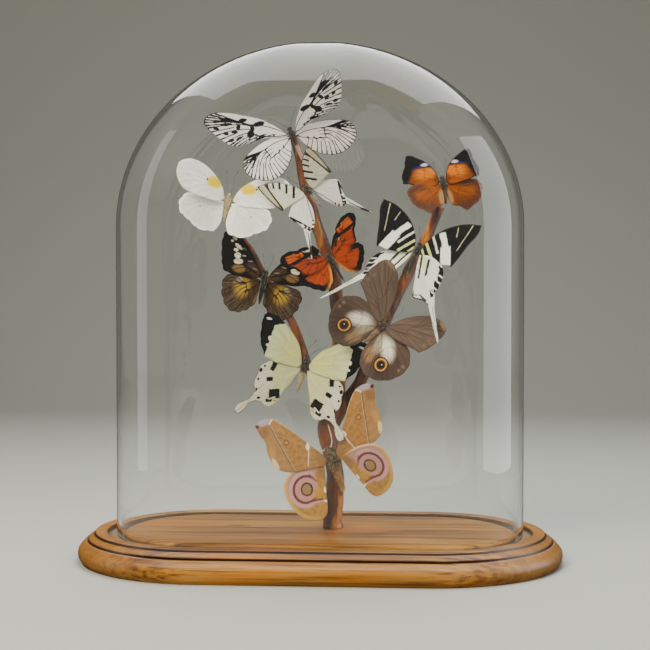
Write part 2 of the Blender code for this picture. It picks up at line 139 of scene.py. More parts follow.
class Graph:
    """A material's node tree, with short ways to add to it."""

    def __init__(self, name: str):
        self.material = bpy.data.materials.new(name)
        self.material.use_nodes = True
        self.tree = self.material.node_tree
        self.shader = self.tree.nodes["Principled BSDF"]
        self.out = self.tree.nodes["Material Output"]

    def node(self, kind: str, **settings):
        node = self.tree.nodes.new(kind)
        for key, value in settings.items():
            setattr(node, key, value)
        return node

    def feed(self, target, source) -> None:
        """Link a Value or a socket to an input, or set a plain number or vector on it."""
        if isinstance(source, Value):
            source = source.socket
        if hasattr(source, "is_output"):
            self.tree.links.new(source, target)
        else:
            target.default_value = source

    def math(self, operation: str, *values) -> Value:
        node = self.node("ShaderNodeMath", operation=operation)
        for target, value in zip(node.inputs, values):
            self.feed(target, value)
        return Value(self, node.outputs[0])

    def vector(self, operation: str, *values) -> Value:
        node = self.node("ShaderNodeVectorMath", operation=operation)
        for target, value in zip(node.inputs, values):
            self.feed(target, value)
        return Value(self, node.outputs[0])

    def length(self, vector: Value) -> Value:
        node = self.node("ShaderNodeVectorMath", operation="LENGTH")
        self.feed(node.inputs[0], vector)
        return Value(self, node.outputs["Value"])

    def parts(self, vector: Value) -> tuple[Value, Value, Value]:
        node = self.node("ShaderNodeSeparateXYZ")
        self.feed(node.inputs[0], vector)
        return tuple(Value(self, out) for out in node.outputs)

    def join(self, x, y, z=0.0) -> Value:
        node = self.node("ShaderNodeCombineXYZ")
        for target, value in zip(node.inputs, (x, y, z)):
            self.feed(target, value)
        return Value(self, node.outputs[0])

    def into(self, vector: Value, place: Point, angle: float, scale: Point) -> Value:
        """The vector seen from a turned and scaled axis cross at the place; the angle is in degrees."""
        node = self.node("ShaderNodeMapping", vector_type="TEXTURE")
        self.feed(node.inputs["Vector"], vector)
        node.inputs["Location"].default_value = (place[0], place[1], 0)
        node.inputs["Rotation"].default_value = (0, 0, math.radians(angle))
        node.inputs["Scale"].default_value = (scale[0], scale[1], 1)
        return Value(self, node.outputs[0])

    def noise(self, vector: Value, scale: float, detail: float = 3.0, distortion: float = 0.0) -> Value:
        node = self.node("ShaderNodeTexNoise")
        self.feed(node.inputs["Vector"], vector)
        node.inputs["Scale"].default_value = scale
        node.inputs["Detail"].default_value = detail
        node.inputs["Distortion"].default_value = distortion
        return Value(self, node.outputs["Fac"])

    def attribute(self, name: str) -> Value:
        node = self.node("ShaderNodeAttribute", attribute_name=name)
        return Value(self, node.outputs["Fac"])

    def object_place(self) -> Value:
        return Value(self, self.node("ShaderNodeTexCoord").outputs["Object"])

    def uv(self) -> Value:
        return Value(self, self.node("ShaderNodeUVMap", uv_map="UVMap").outputs["UV"])

    def mix(self, factor, low, high) -> Value:
        """The low colour where the factor is 0 and the high colour where it is 1."""
        node = self.node("ShaderNodeMix", data_type="RGBA")
        self.feed(node.inputs["Factor"], factor)
        for target, colour in ((node.inputs[6], low), (node.inputs[7], high)):
            self.feed(target, linear(colour) if isinstance(colour, str) else colour)
        return Value(self, node.outputs[2])

    def bump(self, height: Value, strength: float, distance: float) -> Value:
        node = self.node("ShaderNodeBump")
        node.inputs["Strength"].default_value = strength
        node.inputs["Distance"].default_value = distance
        self.feed(node.inputs["Height"], height)
        return Value(self, node.outputs[0])

    def set(self, **inputs) -> None:
        """Feed the Principled shader's inputs, named with underscores for spaces."""
        for name, value in inputs.items():
            self.feed(self.shader.inputs[name.replace("_", " ")], value)


# ---------------------------------------------------------------------------------------------------------
# Wing patterns: shapes in the plane of a wing, in millimetres, painted one over another
# ---------------------------------------------------------------------------------------------------------


class WingPlane:
    """The coordinates that a wing's pattern is drawn in.

    `place` is millimetres out from the thorax and forward, a little unsteady, as scales lie. `edge` and
    `vein` are the distances to the wing's edge and to its nearest vein, in millimetres.
    """

    MM_PER_UV = 100
    SHAKE_SCALE = 0.45
    EDGE_SCALE = 0.9
    STREAK_LENGTH = 0.05

    def __init__(self, graph: Graph, wobble: float):
        self.graph = graph
        flat = graph.vector("MULTIPLY", graph.uv(), (self.MM_PER_UV, self.MM_PER_UV, 0))
        shake = graph.node("ShaderNodeTexNoise")
        graph.feed(shake.inputs["Vector"], flat)
        shake.inputs["Scale"].default_value = self.SHAKE_SCALE
        shake.inputs["Detail"].default_value = 3.0
        centred = graph.vector("SUBTRACT", Value(graph, shake.outputs["Color"]), (0.5, 0.5, 0.5))
        moved = graph.vector("MULTIPLY", centred, (wobble * 2, wobble * 2, 0))
        self.flat = flat
        self.place = graph.vector("ADD", flat, moved)
        x, y, _ = graph.parts(flat)
        self.reach = graph.length(flat)
        self.bearing = graph.math("ARCTAN2", y, x)
        unsteady = graph.noise(flat, self.EDGE_SCALE, 2.0) - 0.5
        self.edge = graph.attribute("edge") + unsteady * wobble * 2
        self.vein = graph.attribute("vein")

    def streaks(self, turns: float, seed: float) -> Value:
        """Noise drawn out along the veins."""
        around = self.bearing * turns
        along = self.reach * self.STREAK_LENGTH
        return self.graph.noise(self.graph.join(around, along, seed), 1.0, 4.0)


class Shape:
    """A region of a wing. Its mask is 1 inside and 0 outside; & is overlap, | is either and ~ is the rest."""

    def mask(self, plane: WingPlane) -> Value:
        raise NotImplementedError

    def __and__(self, other: "Shape") -> "Shape":
        return Both(self, other)

    def __or__(self, other: "Shape") -> "Shape":
        return Either(self, other)

    def __invert__(self) -> "Shape":
        return Rest(self)


@dataclass(frozen=True)
class Both(Shape):
    """Where two shapes overlap."""

    first: Shape
    second: Shape

    def mask(self, plane):
        return self.first.mask(plane) * self.second.mask(plane)


@dataclass(frozen=True)
class Either(Shape):
    """Where one shape or the other is."""

    first: Shape
    second: Shape

    def mask(self, plane):
        return self.first.mask(plane).most(self.second.mask(plane))


@dataclass(frozen=True)
class Rest(Shape):
    """Where a shape isn't."""

    other: Shape

    def mask(self, plane):
        return 1 - self.other.mask(plane)


@dataclass(frozen=True)
class Oval(Shape):
    """An ellipse by its centre and half sizes; soft is the share of its size over which it fades."""

    x: float
    y: float
    length: float
    width: float
    angle: float = 0.0
    soft: float = 0.2

    def mask(self, plane):
        graph = plane.graph
        seen = graph.into(plane.place, (self.x, self.y), self.angle, (self.length, self.width))
        return graph.length(seen).ramp(1 + self.soft / 2, 1 - self.soft / 2)


@dataclass(frozen=True)
class Bar(Shape):
    """A straight bar by its centre, half length, half width and angle; fade is in millimetres."""

    x: float
    y: float
    length: float
    width: float
    angle: float = 0.0
    fade: float = 0.5

    def mask(self, plane):
        graph = plane.graph
        seen = graph.into(plane.place, (self.x, self.y), self.angle, (1.0, 1.0))
        along, across, _ = graph.parts(seen)
        ends = along.size().ramp(self.length + self.fade, self.length - self.fade)
        sides = across.size().ramp(self.width + self.fade / 2, self.width - self.fade / 2)
        return ends * sides


@dataclass(frozen=True)
class Ring(Shape):
    """A circular line by its centre, radius and half width."""

    x: float
    y: float
    radius: float
    width: float
    fade: float = 0.5
    stretch: float = 1.0

    def mask(self, plane):
        graph = plane.graph
        seen = graph.into(plane.place, (self.x, self.y), 0.0, (self.stretch, 1.0))
        off = (graph.length(seen) - self.radius).size()
        return off.ramp(self.width + self.fade / 2, self.width - self.fade / 2)


@dataclass(frozen=True)
class Border(Shape):
    """A band along the wing's edge, between two distances from it."""

    start: float
    end: float
    fade: float = 0.4

    def mask(self, plane):
        inner = plane.edge.ramp(self.end + self.fade / 2, self.end - self.fade / 2)
        if self.start <= 0:
            return inner
        return inner * plane.edge.ramp(self.start - self.fade / 2, self.start + self.fade / 2)


@dataclass(frozen=True)
class Beyond(Shape):
    """All that lies past a straight line through a point, towards a bearing in degrees."""

    x: float
    y: float
    towards: float
    fade: float = 1.0

    def mask(self, plane):
        graph = plane.graph
        seen = graph.into(plane.place, (self.x, self.y), self.towards, (1.0, 1.0))
        along = graph.parts(seen)[0]
        return along.ramp(-self.fade / 2, self.fade / 2)


@dataclass(frozen=True)
class Veins(Shape):
    """The veins, as lines of a half width."""

    width: float = 0.25
    fade: float = 0.3

    def mask(self, plane):
        return plane.vein.ramp(self.width + self.fade / 2, max(0.0, self.width - self.fade / 2))


def noise_level(cover: float) -> float:
    """The level that a share of a noise texture lies above; most of its values lie near a half."""
    return 0.5 + (0.5 - cover) * 0.6


@dataclass(frozen=True)
class Streaks(Shape):
    """Streaks along the veins that cover a share of the wing."""

    cover: float = 0.5
    seed: float = 0.0
    turns: float = 26.0
    fade: float = 0.25

    def mask(self, plane):
        level = noise_level(self.cover)
        return plane.streaks(self.turns, self.seed).ramp(level - self.fade / 2, level + self.fade / 2)


@dataclass(frozen=True)
class Dust(Shape):
    """Scattered scales that cover a share of the wing."""

    cover: float = 0.5
    grain: float = 1.2
    fade: float = 0.2

    def mask(self, plane):
        level = noise_level(self.cover)
        speckle = plane.graph.noise(plane.flat, self.grain, 4.0)
        return speckle.ramp(level - self.fade / 2, level + self.fade / 2)


@dataclass(frozen=True)
class Paint:
    """One colour over one region, at a strength from 0 to 1."""

    colour: str
    shape: Shape
    strength: float = 1.0


@dataclass(frozen=True)
class Pattern:
    """How one kind of wing is coloured: a ground, then paints from first to last."""

    ground: str
    paints: tuple[Paint, ...]
    roughness: float = 0.62
    wobble: float = 0.35
    sheen: float = 0.04

    SHADING = 0.16
    SPECKLE = 0.12
    RIB_HALF_WIDTH = 0.45
    RIB_HEIGHT = 0.12 * MM
    SHINE = 0.2

    def material(self, name: str) -> bpy.types.Material:
        """Build the pattern as a material.

        Args:
            name: the material's name.

        Returns:
            The material, which needs the wing's UV map and its edge and vein attributes.
        """
        graph = Graph(name)
        plane = WingPlane(graph, self.wobble)
        colour = graph.mix(plane.streaks(40.0, 7.0) * self.SHADING, self.ground, "#000000")
        for paint in self.paints:
            mask = paint.shape.mask(plane)
            if paint.strength < 1:
                mask = mask * paint.strength
            colour = graph.mix(mask, colour, paint.colour)
        scales = graph.noise(plane.flat, 6.0, 3.0)
        colour = graph.mix(scales.ramp(0.35, 0.75) * self.SPECKLE, colour, "#000000")
        ribs = plane.vein.ramp(self.RIB_HALF_WIDTH, 0.0) * 0.6 + plane.streaks(60.0, 3.0) * 0.3
        graph.set(
            Base_Color=colour,
            Roughness=self.roughness,
            Sheen_Weight=self.sheen,
            Specular_IOR_Level=self.SHINE,
            Normal=graph.bump(ribs + scales * self.SPECKLE, 0.5, self.RIB_HEIGHT),
        )
        return graph.material


# ---------------------------------------------------------------------------------------------------------
# The ten species
# ---------------------------------------------------------------------------------------------------------


@dataclass(frozen=True)
class Venation:
    """How veins leave the cell of a wing.

    The cell runs from the root to two corners, and the veins leave it on the way from one corner to the other
    and end between two places on the outline, counted in its points.
    """

    top: Point
    bottom: Point
    first: float
    last: float
    count: int
    spurs: float = 0.0


@dataclass(frozen=True)
class WingKind:
    """A wing's outline and veins in millimetres, and its pattern. A point that ends in True is a corner.

    `overlap` is how far the wing reaches under or over its neighbour past its outline, forwards or, below
    zero, backwards. `scallop` is how far the margin draws in between the ends of two veins.
    """

    outline: tuple
    veins: Venation
    pattern: Pattern
    overlap: float = 0.0
    scallop: float = 0.0


@dataclass(frozen=True)
class WingPose:
    """How one wing sits, in degrees: raised to the back side, swept to the head, and twisted."""

    raised: float
    swept: float
    twisted: float


@dataclass(frozen=True)
class BodyKind:
    """An insect's body in millimetres, and its colours."""

    thorax_length: float
    thorax_radius: float
    head_radius: float
    abdomen_length: float
    abdomen_radius: float
    fur_length: float
    fur_count: int
    thorax_colour: str
    abdomen_colour: str
    tip_colour: str


@dataclass(frozen=True)
class AntennaKind:
    """A pair of antennae: paths to the right and to the left in millimetres, and how thick they are."""

    right: tuple
    left: tuple
    radius: float
    club: float
    colour: str


@dataclass(frozen=True)
class Species:
    """One mounted insect."""

    name: str
    turn: float
    roll: float
    pitch: float
    left_forewing: WingPose
    right_forewing: WingPose
    left_hindwing: WingPose
    right_hindwing: WingPose
    fore: WingKind
    hind: WingKind
    body: BodyKind
    antennae: AntennaKind


INK = "#0c0705"

NYMPH_FORE = Pattern(
    ground="#f3ebe5",
    paints=(
        Paint("#cfc4bb", Streaks(0.45, 2.0), 0.45),
        Paint(INK, Veins(0.30, 0.3)),
        Paint(INK, Veins(0.45, 0.4) & Streaks(0.45, 5.0, 60.0) & Beyond(34, 14, 15, 8), 0.9),
        Paint(INK, Oval(22.5, 17.0, 4.6, 1.9, 6, 0.3) | Oval(28.5, 15.6, 1.7, 2.6, 20, 0.3)),
        Paint(INK, Oval(31.0, 12.2, 3.2, 2.6, -20, 0.3) | Oval(33.8, 23.4, 3.4, 1.6, 10, 0.3)),
        Paint(INK, Oval(38.5, 20.0, 1.6, 2.4, 30, 0.3) | Oval(42.5, 17.6, 2.4, 1.2, 10, 0.3)),
        Paint(INK, Oval(46.0, 24.4, 3.0, 1.1, 10, 0.3) | Oval(49.0, 18.6, 2.2, 1.2, 20, 0.3)),
        Paint(INK, Oval(40.5, 12.2, 2.8, 0.8, -5, 0.3) | Oval(46.8, 12.8, 2.6, 1.2, 5, 0.3)),
        Paint(INK, Oval(55.0, 24.6, 2.4, 1.1, 30, 0.3) | Oval(52.5, 29.0, 3.6, 0.9, 10, 0.3)),
        Paint(INK, Veins(0.32, 0.3) & Beyond(48, 25, 32, 8), 0.9),
        Paint(INK, Border(0.0, 3.0, 1.2) & Veins(0.6, 0.5) & Beyond(40, 10, 5, 10), 0.9),
        Paint(INK, Border(0.0, 1.7, 0.8) & Beyond(50, 30, 50, 6)),
        Paint("#f3ebe5", Border(0.5, 1.5) & ~Veins(0.6) & Beyond(45, 14, 10, 8), 0.9),
        Paint(INK, Border(0.0, 0.4) & Beyond(10, 12, 110, 2), 0.8),
    ),
    wobble=0.6,
)
NYMPH_HIND = Pattern(
    ground="#f3ebe5",
    paints=(
        Paint("#cfc4bb", Streaks(0.45, 2.0), 0.4),
        Paint(INK, Veins(0.30, 0.3)),
        Paint(INK, Veins(0.42, 0.4) & Streaks(0.4, 5.0, 60.0) & Beyond(24, -8, -15, 10), 0.8),
        Paint(INK, Bar(24.0, -3.2, 4.5, 0.3, -4) | Bar(24.5, -6.2, 5.0, 0.3, -12)),
        Paint(INK, Border(0.3, 3.0, 1.4) & Veins(0.62, 0.5) & Beyond(14, -14, -20, 14), 0.9),
        Paint(INK, Border(0.0, 0.4) & Beyond(6, -10, -40, 6)),
    ),
    wobble=0.5,
)
SULPHUR_FORE = Pattern(
    ground="#f7f6ee",
    paints=(
        Paint("#dcdccb", Veins(0.2, 0.5), 0.6),
        Paint("#e6e6d6", Border(0.0, 0.7), 0.8),
        Paint("#dfe0d2", Streaks(0.42, 3.0, 14.0), 0.6),
        Paint("#eed400", Oval(12.5, 13.0, 6.8, 4.5, -5, 0.6)),
        Paint("#ecc800", Oval(12.0, 13.2, 4.2, 3.0, 0, 0.9), 0.8),
        Paint("#4a4336", Oval(19.0, 13.8, 0.8, 0.9, 0, 0.6)),
        Paint("#ddd9b8", Oval(3.0, 5.0, 4.0, 4.0, 0, 0.8), 0.5),
    ),
    roughness=0.55,
)
SULPHUR_HIND = Pattern(
    ground="#eceee4",
    paints=(
        Paint("#cdd1c2", Veins(0.2, 0.6), 0.7),
        Paint("#d6dccf", Streaks(0.45, 3.0, 14.0), 0.7),
        Paint("#d3d8cb", Oval(21, -13, 8, 7, 0, 0.9), 0.5),
        Paint("#f8f8f2", Border(0.0, 1.6, 1.2), 0.7),
        Paint("#a9aa98", Oval(20.8, -6.4, 0.9, 0.6, 0, 0.6)),
        Paint("#f4efdf", Oval(6, -12, 3, 8, 0, 0.8), 0.6),
    ),
    roughness=0.55,
)
SWORD_INK = "#17100c"
SWORDTAIL_FORE = Pattern(
    ground="#dcdbc6",
    paints=(
        Paint("#b9b8a0", Streaks(0.45, 3.0), 0.6),
        Paint("#b5ad92", Veins(0.18, 0.3), 0.7),
        Paint(SWORD_INK, Bar(8.8, 5.8, 5.0, 0.95, -45) | Bar(11.4, 10.9, 3.8, 0.9, -47)),
        Paint(SWORD_INK, Bar(13.8, 15.8, 2.8, 0.8, -50) | Bar(17.3, 18.8, 2.3, 0.75, -55)),
        Paint(SWORD_INK, Bar(20.8, 21.3, 2.0, 0.7, -62) | Border(0.0, 0.5) & Beyond(9, 12, 125, 2)),
        Paint("#b7ab8c", Beyond(23.6, 12, 0, 1.0), 0.8),
        Paint("#4e4337", Bar(22.9, 12.0, 13.0, 0.75, -83, 0.6)),
        Paint("#4e4337", Border(0.0, 0.9) & Beyond(25, 13, 0, 2)),
        Paint("#3a3028", Oval(25.5, 2.5, 1.8, 2.6, 0, 0.4), 0.7),
    ),
    wobble=0.25,
)
SWORDTAIL_HIND = Pattern(
    ground="#efebe3",
    paints=(
        Paint("#cdc7bb", Streaks(0.5, 3.0), 0.5),
        Paint("#9b9283", Bar(7.6, -11.5, 8.5, 0.45, -68)),
        Paint(SWORD_INK, Bar(20.2, -15.6, 8.5, 0.75, 63)),
        Paint(SWORD_INK, Bar(22.6, -14.5, 6.5, 0.55, 78) | Bar(18.4, -22.5, 2.8, 0.8, 62)),
        Paint("#efebe3", Bar(21.2, -18.5, 0.5, 2.4, 63) | Bar(19.2, -22.2, 0.4, 2.2, 63)),
        Paint(SWORD_INK, Oval(15.2, -24.6, 1.5, 0.9, 30) | Oval(11.0, -20.0, 1.0, 0.6, 40)),
        Paint("#b0473a", Oval(12.2, -22.6, 1.7, 0.9, 35)),
        Paint("#3a3028", Border(0.0, 0.32) & Beyond(18, -25, -65, 2)),
    ),
    wobble=0.25,
)
DARK_BROWN = "#0c0706"
LEAFWING_FORE = Pattern(
    ground="#bd6410",
    paints=(
        Paint("#f59000", Oval(14, 9.4, 10.0, 4.0, 0, 0.9)),
        Paint("#8a4a1c", Streaks(0.42, 4.0, 50.0), 0.55),
        Paint("#7a3a14", Veins(0.15, 0.4), 0.6),
        Paint("#7a3f1c", Beyond(20, 8, 10, 8), 0.65),
        Paint("#5d3018", Oval(3, 5, 4, 4, 0, 0.9), 0.6),
        Paint(DARK_BROWN, Beyond(15, 13.4, 88, 2.0)),
        Paint("#170b08", Beyond(23.0, 11, 28, 4)),
        Paint("#4c3484", Oval(18.6, 14.3, 4.4, 0.8, -14, 1.0), 0.8),
        Paint("#d8cce8", Oval(12.6, 15.8, 3.4, 1.1, -4, 0.8) & Streaks(0.75, 3.0)),
        Paint("#3a2018", Border(0.0, 0.6)),
    ),
)
LEAFWING_HIND = Pattern(
    ground="#9a5424",
    paints=(
        Paint("#c06a1c", Oval(14, -4, 11, 5, -10, 0.9), 0.8),
        Paint("#6b3818", Streaks(0.5, 4.0, 50.0), 0.7),
        Paint("#5f341c", Veins(0.15, 0.4), 0.6),
        Paint("#5d3a2c", Border(0.0, 5.0, 5.0) & Beyond(12, -8, -15, 10), 0.75),
        Paint("#8a6a5c", Border(0.0, 1.2, 1.2) & Streaks(0.5, 8.0, 50.0) & Beyond(12, -8, -15, 10), 0.6),
        Paint("#b98c60", Oval(3.0, -9.0, 3.0, 6.0, 10, 0.7)),
        Paint("#6a4530", Oval(14, -17, 4, 3, 0, 0.9), 0.6),
    ),
)
UMBER = "#0d0807"
CLIPPER_FORE = Pattern(
    ground="#1c110b",
    paints=(
        Paint("#5d4530", Oval(8, 6, 8, 4.5, 25, 0.8), 0.75),
        Paint(UMBER, Veins(0.35, 0.4) & ~Beyond(20, 14, 20, 4)),
        Paint("#8a6b45", Oval(20.5, 5.4, 4.8, 3.0, 0, 0.6)),
        Paint("#20150f", Veins(0.25, 0.3) & Oval(20.5, 5.4, 4.8, 3.0), 0.7),
        Paint("#ddd3b8", Oval(21.8, 10.6, 3.5, 2.0, -6) | Oval(23.2, 14.8, 2.5, 2.1, 10)),
        Paint("#ddd3b8", Oval(25.2, 18.6, 1.7, 1.2) | Oval(23.6, 21.4, 3.4, 1.4, 28)),
        Paint("#cfc5aa", Oval(27.8, 27.0, 2.1, 1.3, 35) | Oval(29.2, 24.6, 1.1, 0.8)),
        Paint("#a59a88", Oval(19.0, 20.2, 1.5, 0.8, 20) | Oval(18.2, 15.4, 1.5, 0.55)),
        Paint("#8f8474", Oval(12.8, 12.2, 2.2, 0.45, -8) | Oval(8.5, 7.2, 2.2, 0.4, 10)),
        Paint(UMBER, Veins(0.22, 0.2), 0.8),
    ),
)
CLIPPER_HIND = Pattern(
    ground="#4c3422",
    paints=(
        Paint("#5f452c", Streaks(0.5, 6.0), 0.7),
        Paint("#c09a48", Oval(15.5, -7.5, 5.4, 7.0, 0, 1.1) & Streaks(0.72, 9.0, 34.0)),
        Paint("#d8cfb4", Oval(18.6, -2.4, 2.4, 2.0) | Oval(22.0, -4.4, 1.3, 0.9)),
        Paint("#241811", Veins(0.3, 0.35)),
        Paint("#2a1c14", Border(0.0, 6.5, 3.0) & Beyond(12, -14, -20, 12), 0.8),
        Paint("#8a7660", Streaks(0.42, 11.0, 34.0) & Beyond(12, -14, -25, 8), 0.55),
        Paint("#7c6650", Border(3.4, 4.0, 0.8) & Beyond(8, -14, -30, 6), 0.4),
        Paint("#7c6650", Border(1.1, 1.7, 0.7) & Beyond(8, -14, -30, 6), 0.45),
        Paint("#8a7456", Oval(3.5, -14, 1.5, 5, 15, 0.6), 0.7),
    ),
)
LONGWING_FORE = Pattern(
    ground="#b84e16",
    paints=(
        Paint("#8c3410", Streaks(0.5, 5.0), 0.6),
        Paint(DARK_BROWN, Veins(0.22, 0.3), 0.8),
        Paint(DARK_BROWN, Beyond(11, 10.6, 122, 1.2) | Beyond(20, 12.2, 95, 1.0)),
        Paint("#c8601c", Bar(23.2, 16.4, 6.6, 1.9, 6, 0.7) | Bar(25.5, 19.4, 4.0, 0.6, 8, 0.5)),
        Paint(DARK_BROWN, Veins(0.2, 0.3) & Beyond(20, 14, 90, 1), 0.8),
        Paint(DARK_BROWN, Border(0.0, 1.6, 0.6) & Beyond(20, 14, 10, 10)),
        Paint(DARK_BROWN, Bar(19.5, 13.0, 7.0, 0.8, -3)),
        Paint("#c2baa8", Oval(13.8, 16.6, 2.2, 0.9, 35, 0.6) | Oval(14.2, 10.9, 1.1, 0.5, 40, 0.6), 0.6),
        Paint(DARK_BROWN, Bar(10.5, 9.2, 2.6, 0.7, 48)),
    ),
)
LONGWING_HIND = Pattern(
    ground="#c25413",
    paints=(
        Paint("#9a3c0e", Streaks(0.5, 5.0), 0.55),
        Paint(DARK_BROWN, Veins(0.16, 0.25), 0.55),
        Paint("#150f0e", Border(0.0, 3.9, 1.0) & Beyond(14, -6, -28, 7)),
        Paint("#dba55c", Border(0.0, 1.8, 1.6) & Beyond(7, -8, 215, 6)),
    ),
)
ZEBRA_INK = "#120a07"
ZEBRA_FORE = Pattern(
    ground=ZEBRA_INK,
    paints=(
        Paint("#e9e7dc", Bar(17.4, 11.6, 8.2, 2.3, -58, 0.8) | Bar(22.4, 1.4, 7.6, 3.7, -68, 0.9)),
        Paint("#d6d3bf", Bar(11.6, 8.2, 7.4, 0.85, -54)),
        Paint(ZEBRA_INK, Bar(12.4, 12.0, 4.6, 1.6, -47)),
        Paint("#cbca8a", Bar(9.0, 2.0, 7.8, 1.0, -51) | Bar(4.2, 0.6, 3.6, 0.8, -52)),
        Paint("#cfc5a4", Bar(30.9, 18.5, 11.4, 0.3, 79, 0.4), 0.85),
        Paint("#cfc5a4", Bar(24.0, 21.6, 3.9, 0.3, -78, 0.4), 0.8),
        Paint("#4a3a30", Border(0.0, 0.6), 0.6),
    ),
    wobble=0.75,
)
ZEBRA_HIND = Pattern(
    ground="#ece9dd",
    paints=(
        Paint("#cfcbbb", Streaks(0.5, 3.0), 0.5),
        Paint("#d4d6a0", Oval(8.0, -8.0, 5.0, 4.0, -60, 0.9), 0.7),
        Paint("#241c16", Bar(6.8, -11.5, 9.5, 0.9, -82, 0.8)),
        Paint("#342c24", Bar(13.4, -12.0, 6.5, 1.1, -86, 1.0)),
        Paint(ZEBRA_INK, Bar(27.2, -17.5, 6.0, 2.3, -86) | Bar(26.2, -25.8, 4.6, 2.3, -76)),
        Paint(ZEBRA_INK, Bar(23.6, -31.6, 3.2, 1.4, -64) | Bar(25.2, -12.4, 2.6, 0.9, -52)),
        Paint("#ece9dd", Bar(27.4, -18.5, 0.4, 2.2, 60) | Bar(26.4, -22.6, 0.45, 2.4, 60)),
        Paint("#ece9dd", Bar(25.4, -27.8, 0.4, 2.2, 60) | Bar(24.0, -30.6, 0.4, 2.0, 60)),
        Paint(ZEBRA_INK, Border(0.2, 1.3) & Beyond(14, -34, -115, 2) & ~Beyond(20, -38, -60, 2)),
        Paint(ZEBRA_INK, Bar(16.8, -35.2, 4.4, 0.5, -30, 0.5)),
        Paint("#3a3028", Bar(9.6, -33.4, 4.4, 0.4, 4) | Bar(19.5, -38.0, 4.6, 0.5, -32)),
        Paint("#4a4038", Bar(30.0, -51.0, 12.5, 0.28, -56, 0.3), 0.8),
        Paint("#3a3028", Border(0.0, 0.25) & Beyond(26, -40, -60, 4), 0.8),
    ),
    wobble=0.75,
)
EYESPOT_FORE = Pattern(
    ground="#67564a",
    paints=(
        Paint("#7d6552", Streaks(0.5, 2.0, 18.0), 0.8),
        Paint("#4a382c", Veins(0.3, 0.5), 0.6),
        Paint("#54402f", Beyond(8, 18, 130, 10), 0.5),
        Paint("#94745c", Oval(30.0, 34.6, 7.0, 2.2, -5, 0.6), 0.8),
        Paint("#8f765f", Oval(33.5, 15.0, 1.6, 1.4, 0, 0.9) | Oval(33.0, 20.0, 1.2, 1.4, 0, 0.9), 0.5),
        Paint("#4f3b2e", Border(0.0, 0.8), 0.5),
    ),
    roughness=0.5,
    sheen=0.3,
)
EYESPOT_HIND = Pattern(
    ground="#5c4a3e",
    paints=(
        Paint("#6f5745", Streaks(0.5, 2.0, 18.0), 0.8),
        Paint("#3a281e", Oval(25, -17, 11, 12, 0, 0.9), 0.55),
        Paint("#b5a48c", Oval(8.5, -10.0, 4.2, 8.5, 18, 0.7) & Streaks(0.6, 4.0, 20.0), 0.8),
        Paint("#e6dccb", Oval(16.0, -8.0, 8.2, 4.8, -32, 1.1)),
        Paint("#8a7460", Streaks(0.35, 12.0, 30.0) & Oval(14.0, -8.0, 10, 6, -32, 0.8), 0.5),
        Paint("#a8825e", Oval(9.5, -20.0, 4.0, 6.0, 30, 0.8) & Streaks(0.6, 8.0, 20.0), 0.8),
        Paint("#6e5038", Veins(0.25, 0.4), 0.5),
        Paint("#2a1a12", Ring(21.2, -19.0, 5.0, 0.7, 0.8)),
        Paint("#8a5326", Oval(21.2, -19.0, 4.9, 4.9, 0, 0.15)),
        Paint("#cf9a52", Ring(21.2, -19.0, 4.1, 0.55, 0.4)),
        Paint("#5c3217", Oval(21.2, -19.0, 3.4, 3.4, 0, 0.2)),
        Paint("#0e0909", Oval(21.2, -18.9, 2.4, 2.4, 0, 0.2)),
        Paint("#ded6d2", Oval(21.6, -18.5, 0.45, 0.45, 0, 0.5)),
        Paint("#9c8470", Oval(33.5, -8.0, 1.3, 1.2, 0, 0.9) | Oval(33.5, -12.0, 1.0, 1.2, 0, 0.9), 0.5),
    ),
    roughness=0.5,
    sheen=0.3,
)
CREAM_FORE = Pattern(
    ground="#d9d898",
    paints=(
        Paint("#d6d6b0", Beyond(22, 14, 15, 14), 0.8),
        Paint("#c2be92", Streaks(0.45, 2.0, 30.0), 0.75),
        Paint("#b8b488", Veins(0.15, 0.3), 0.6),
        Paint("#d8cf7a", Oval(12, 6, 6, 3, 20, 0.9), 0.4),
        Paint(INK, Border(0.0, 0.8) & Beyond(12, 17, 128, 3)),
        Paint(INK, Beyond(32.9, 12, 2, 0.7) | Beyond(29.5, 24.9, 68, 0.7)),
        Paint("#dddac0", Oval(33.4, 8.2, 1.6, 1.0, 0, 0.3) | Oval(33.2, 13.5, 1.2, 1.5, 0, 0.3)),
        Paint("#d8d4cc", Oval(38.2, 27.2, 2.2, 0.75, -4, 0.4)),
    ),
    wobble=0.9,
)
CREAM_HIND = Pattern(
    ground="#d6d4a0",
    paints=(
        Paint("#d9d4c2", Beyond(24, -12, -15, 10), 0.9),
        Paint("#c3bf98", Streaks(0.45, 2.0, 30.0), 0.75),
        Paint("#bdb994", Veins(0.15, 0.3), 0.5),
        Paint(INK, Bar(23.8, -5.6, 1.9, 3.2, 12, 0.5) | Bar(24.2, -15.2, 2.6, 1.5, -15, 0.5)),
        Paint(INK, Bar(17.6, -25.0, 4.3, 3.6, -12, 0.5) | Bar(20.4, -30.6, 2.6, 1.2, -14, 0.5)),
        Paint(INK, Oval(28.6, -30.4, 1.4, 0.8) | Oval(32.8, -10.2, 1.3, 1.7) | Oval(32.8, -17.0, 1.0, 1.0)),
        Paint(
            INK,
            Oval(32.0, -24.6, 0.6, 1.3)
            | Oval(30.5, -6.5, 0.9, 0.9)
            | Border(0.0, 0.3) & Beyond(26, -10, 0, 6),
        ),
        Paint("#e4dfd0", Bar(18.4, -28.3, 2.6, 0.4, -25, 0.3)),
        Paint("#a8705a", Oval(15.6, -30.0, 1.4, 0.7, -35, 0.5), 0.8),
        Paint("#b9ad98", Bar(37.5, -37.5, 6.5, 0.5, -52, 0.8), 0.5),
    ),
    wobble=0.9,
)
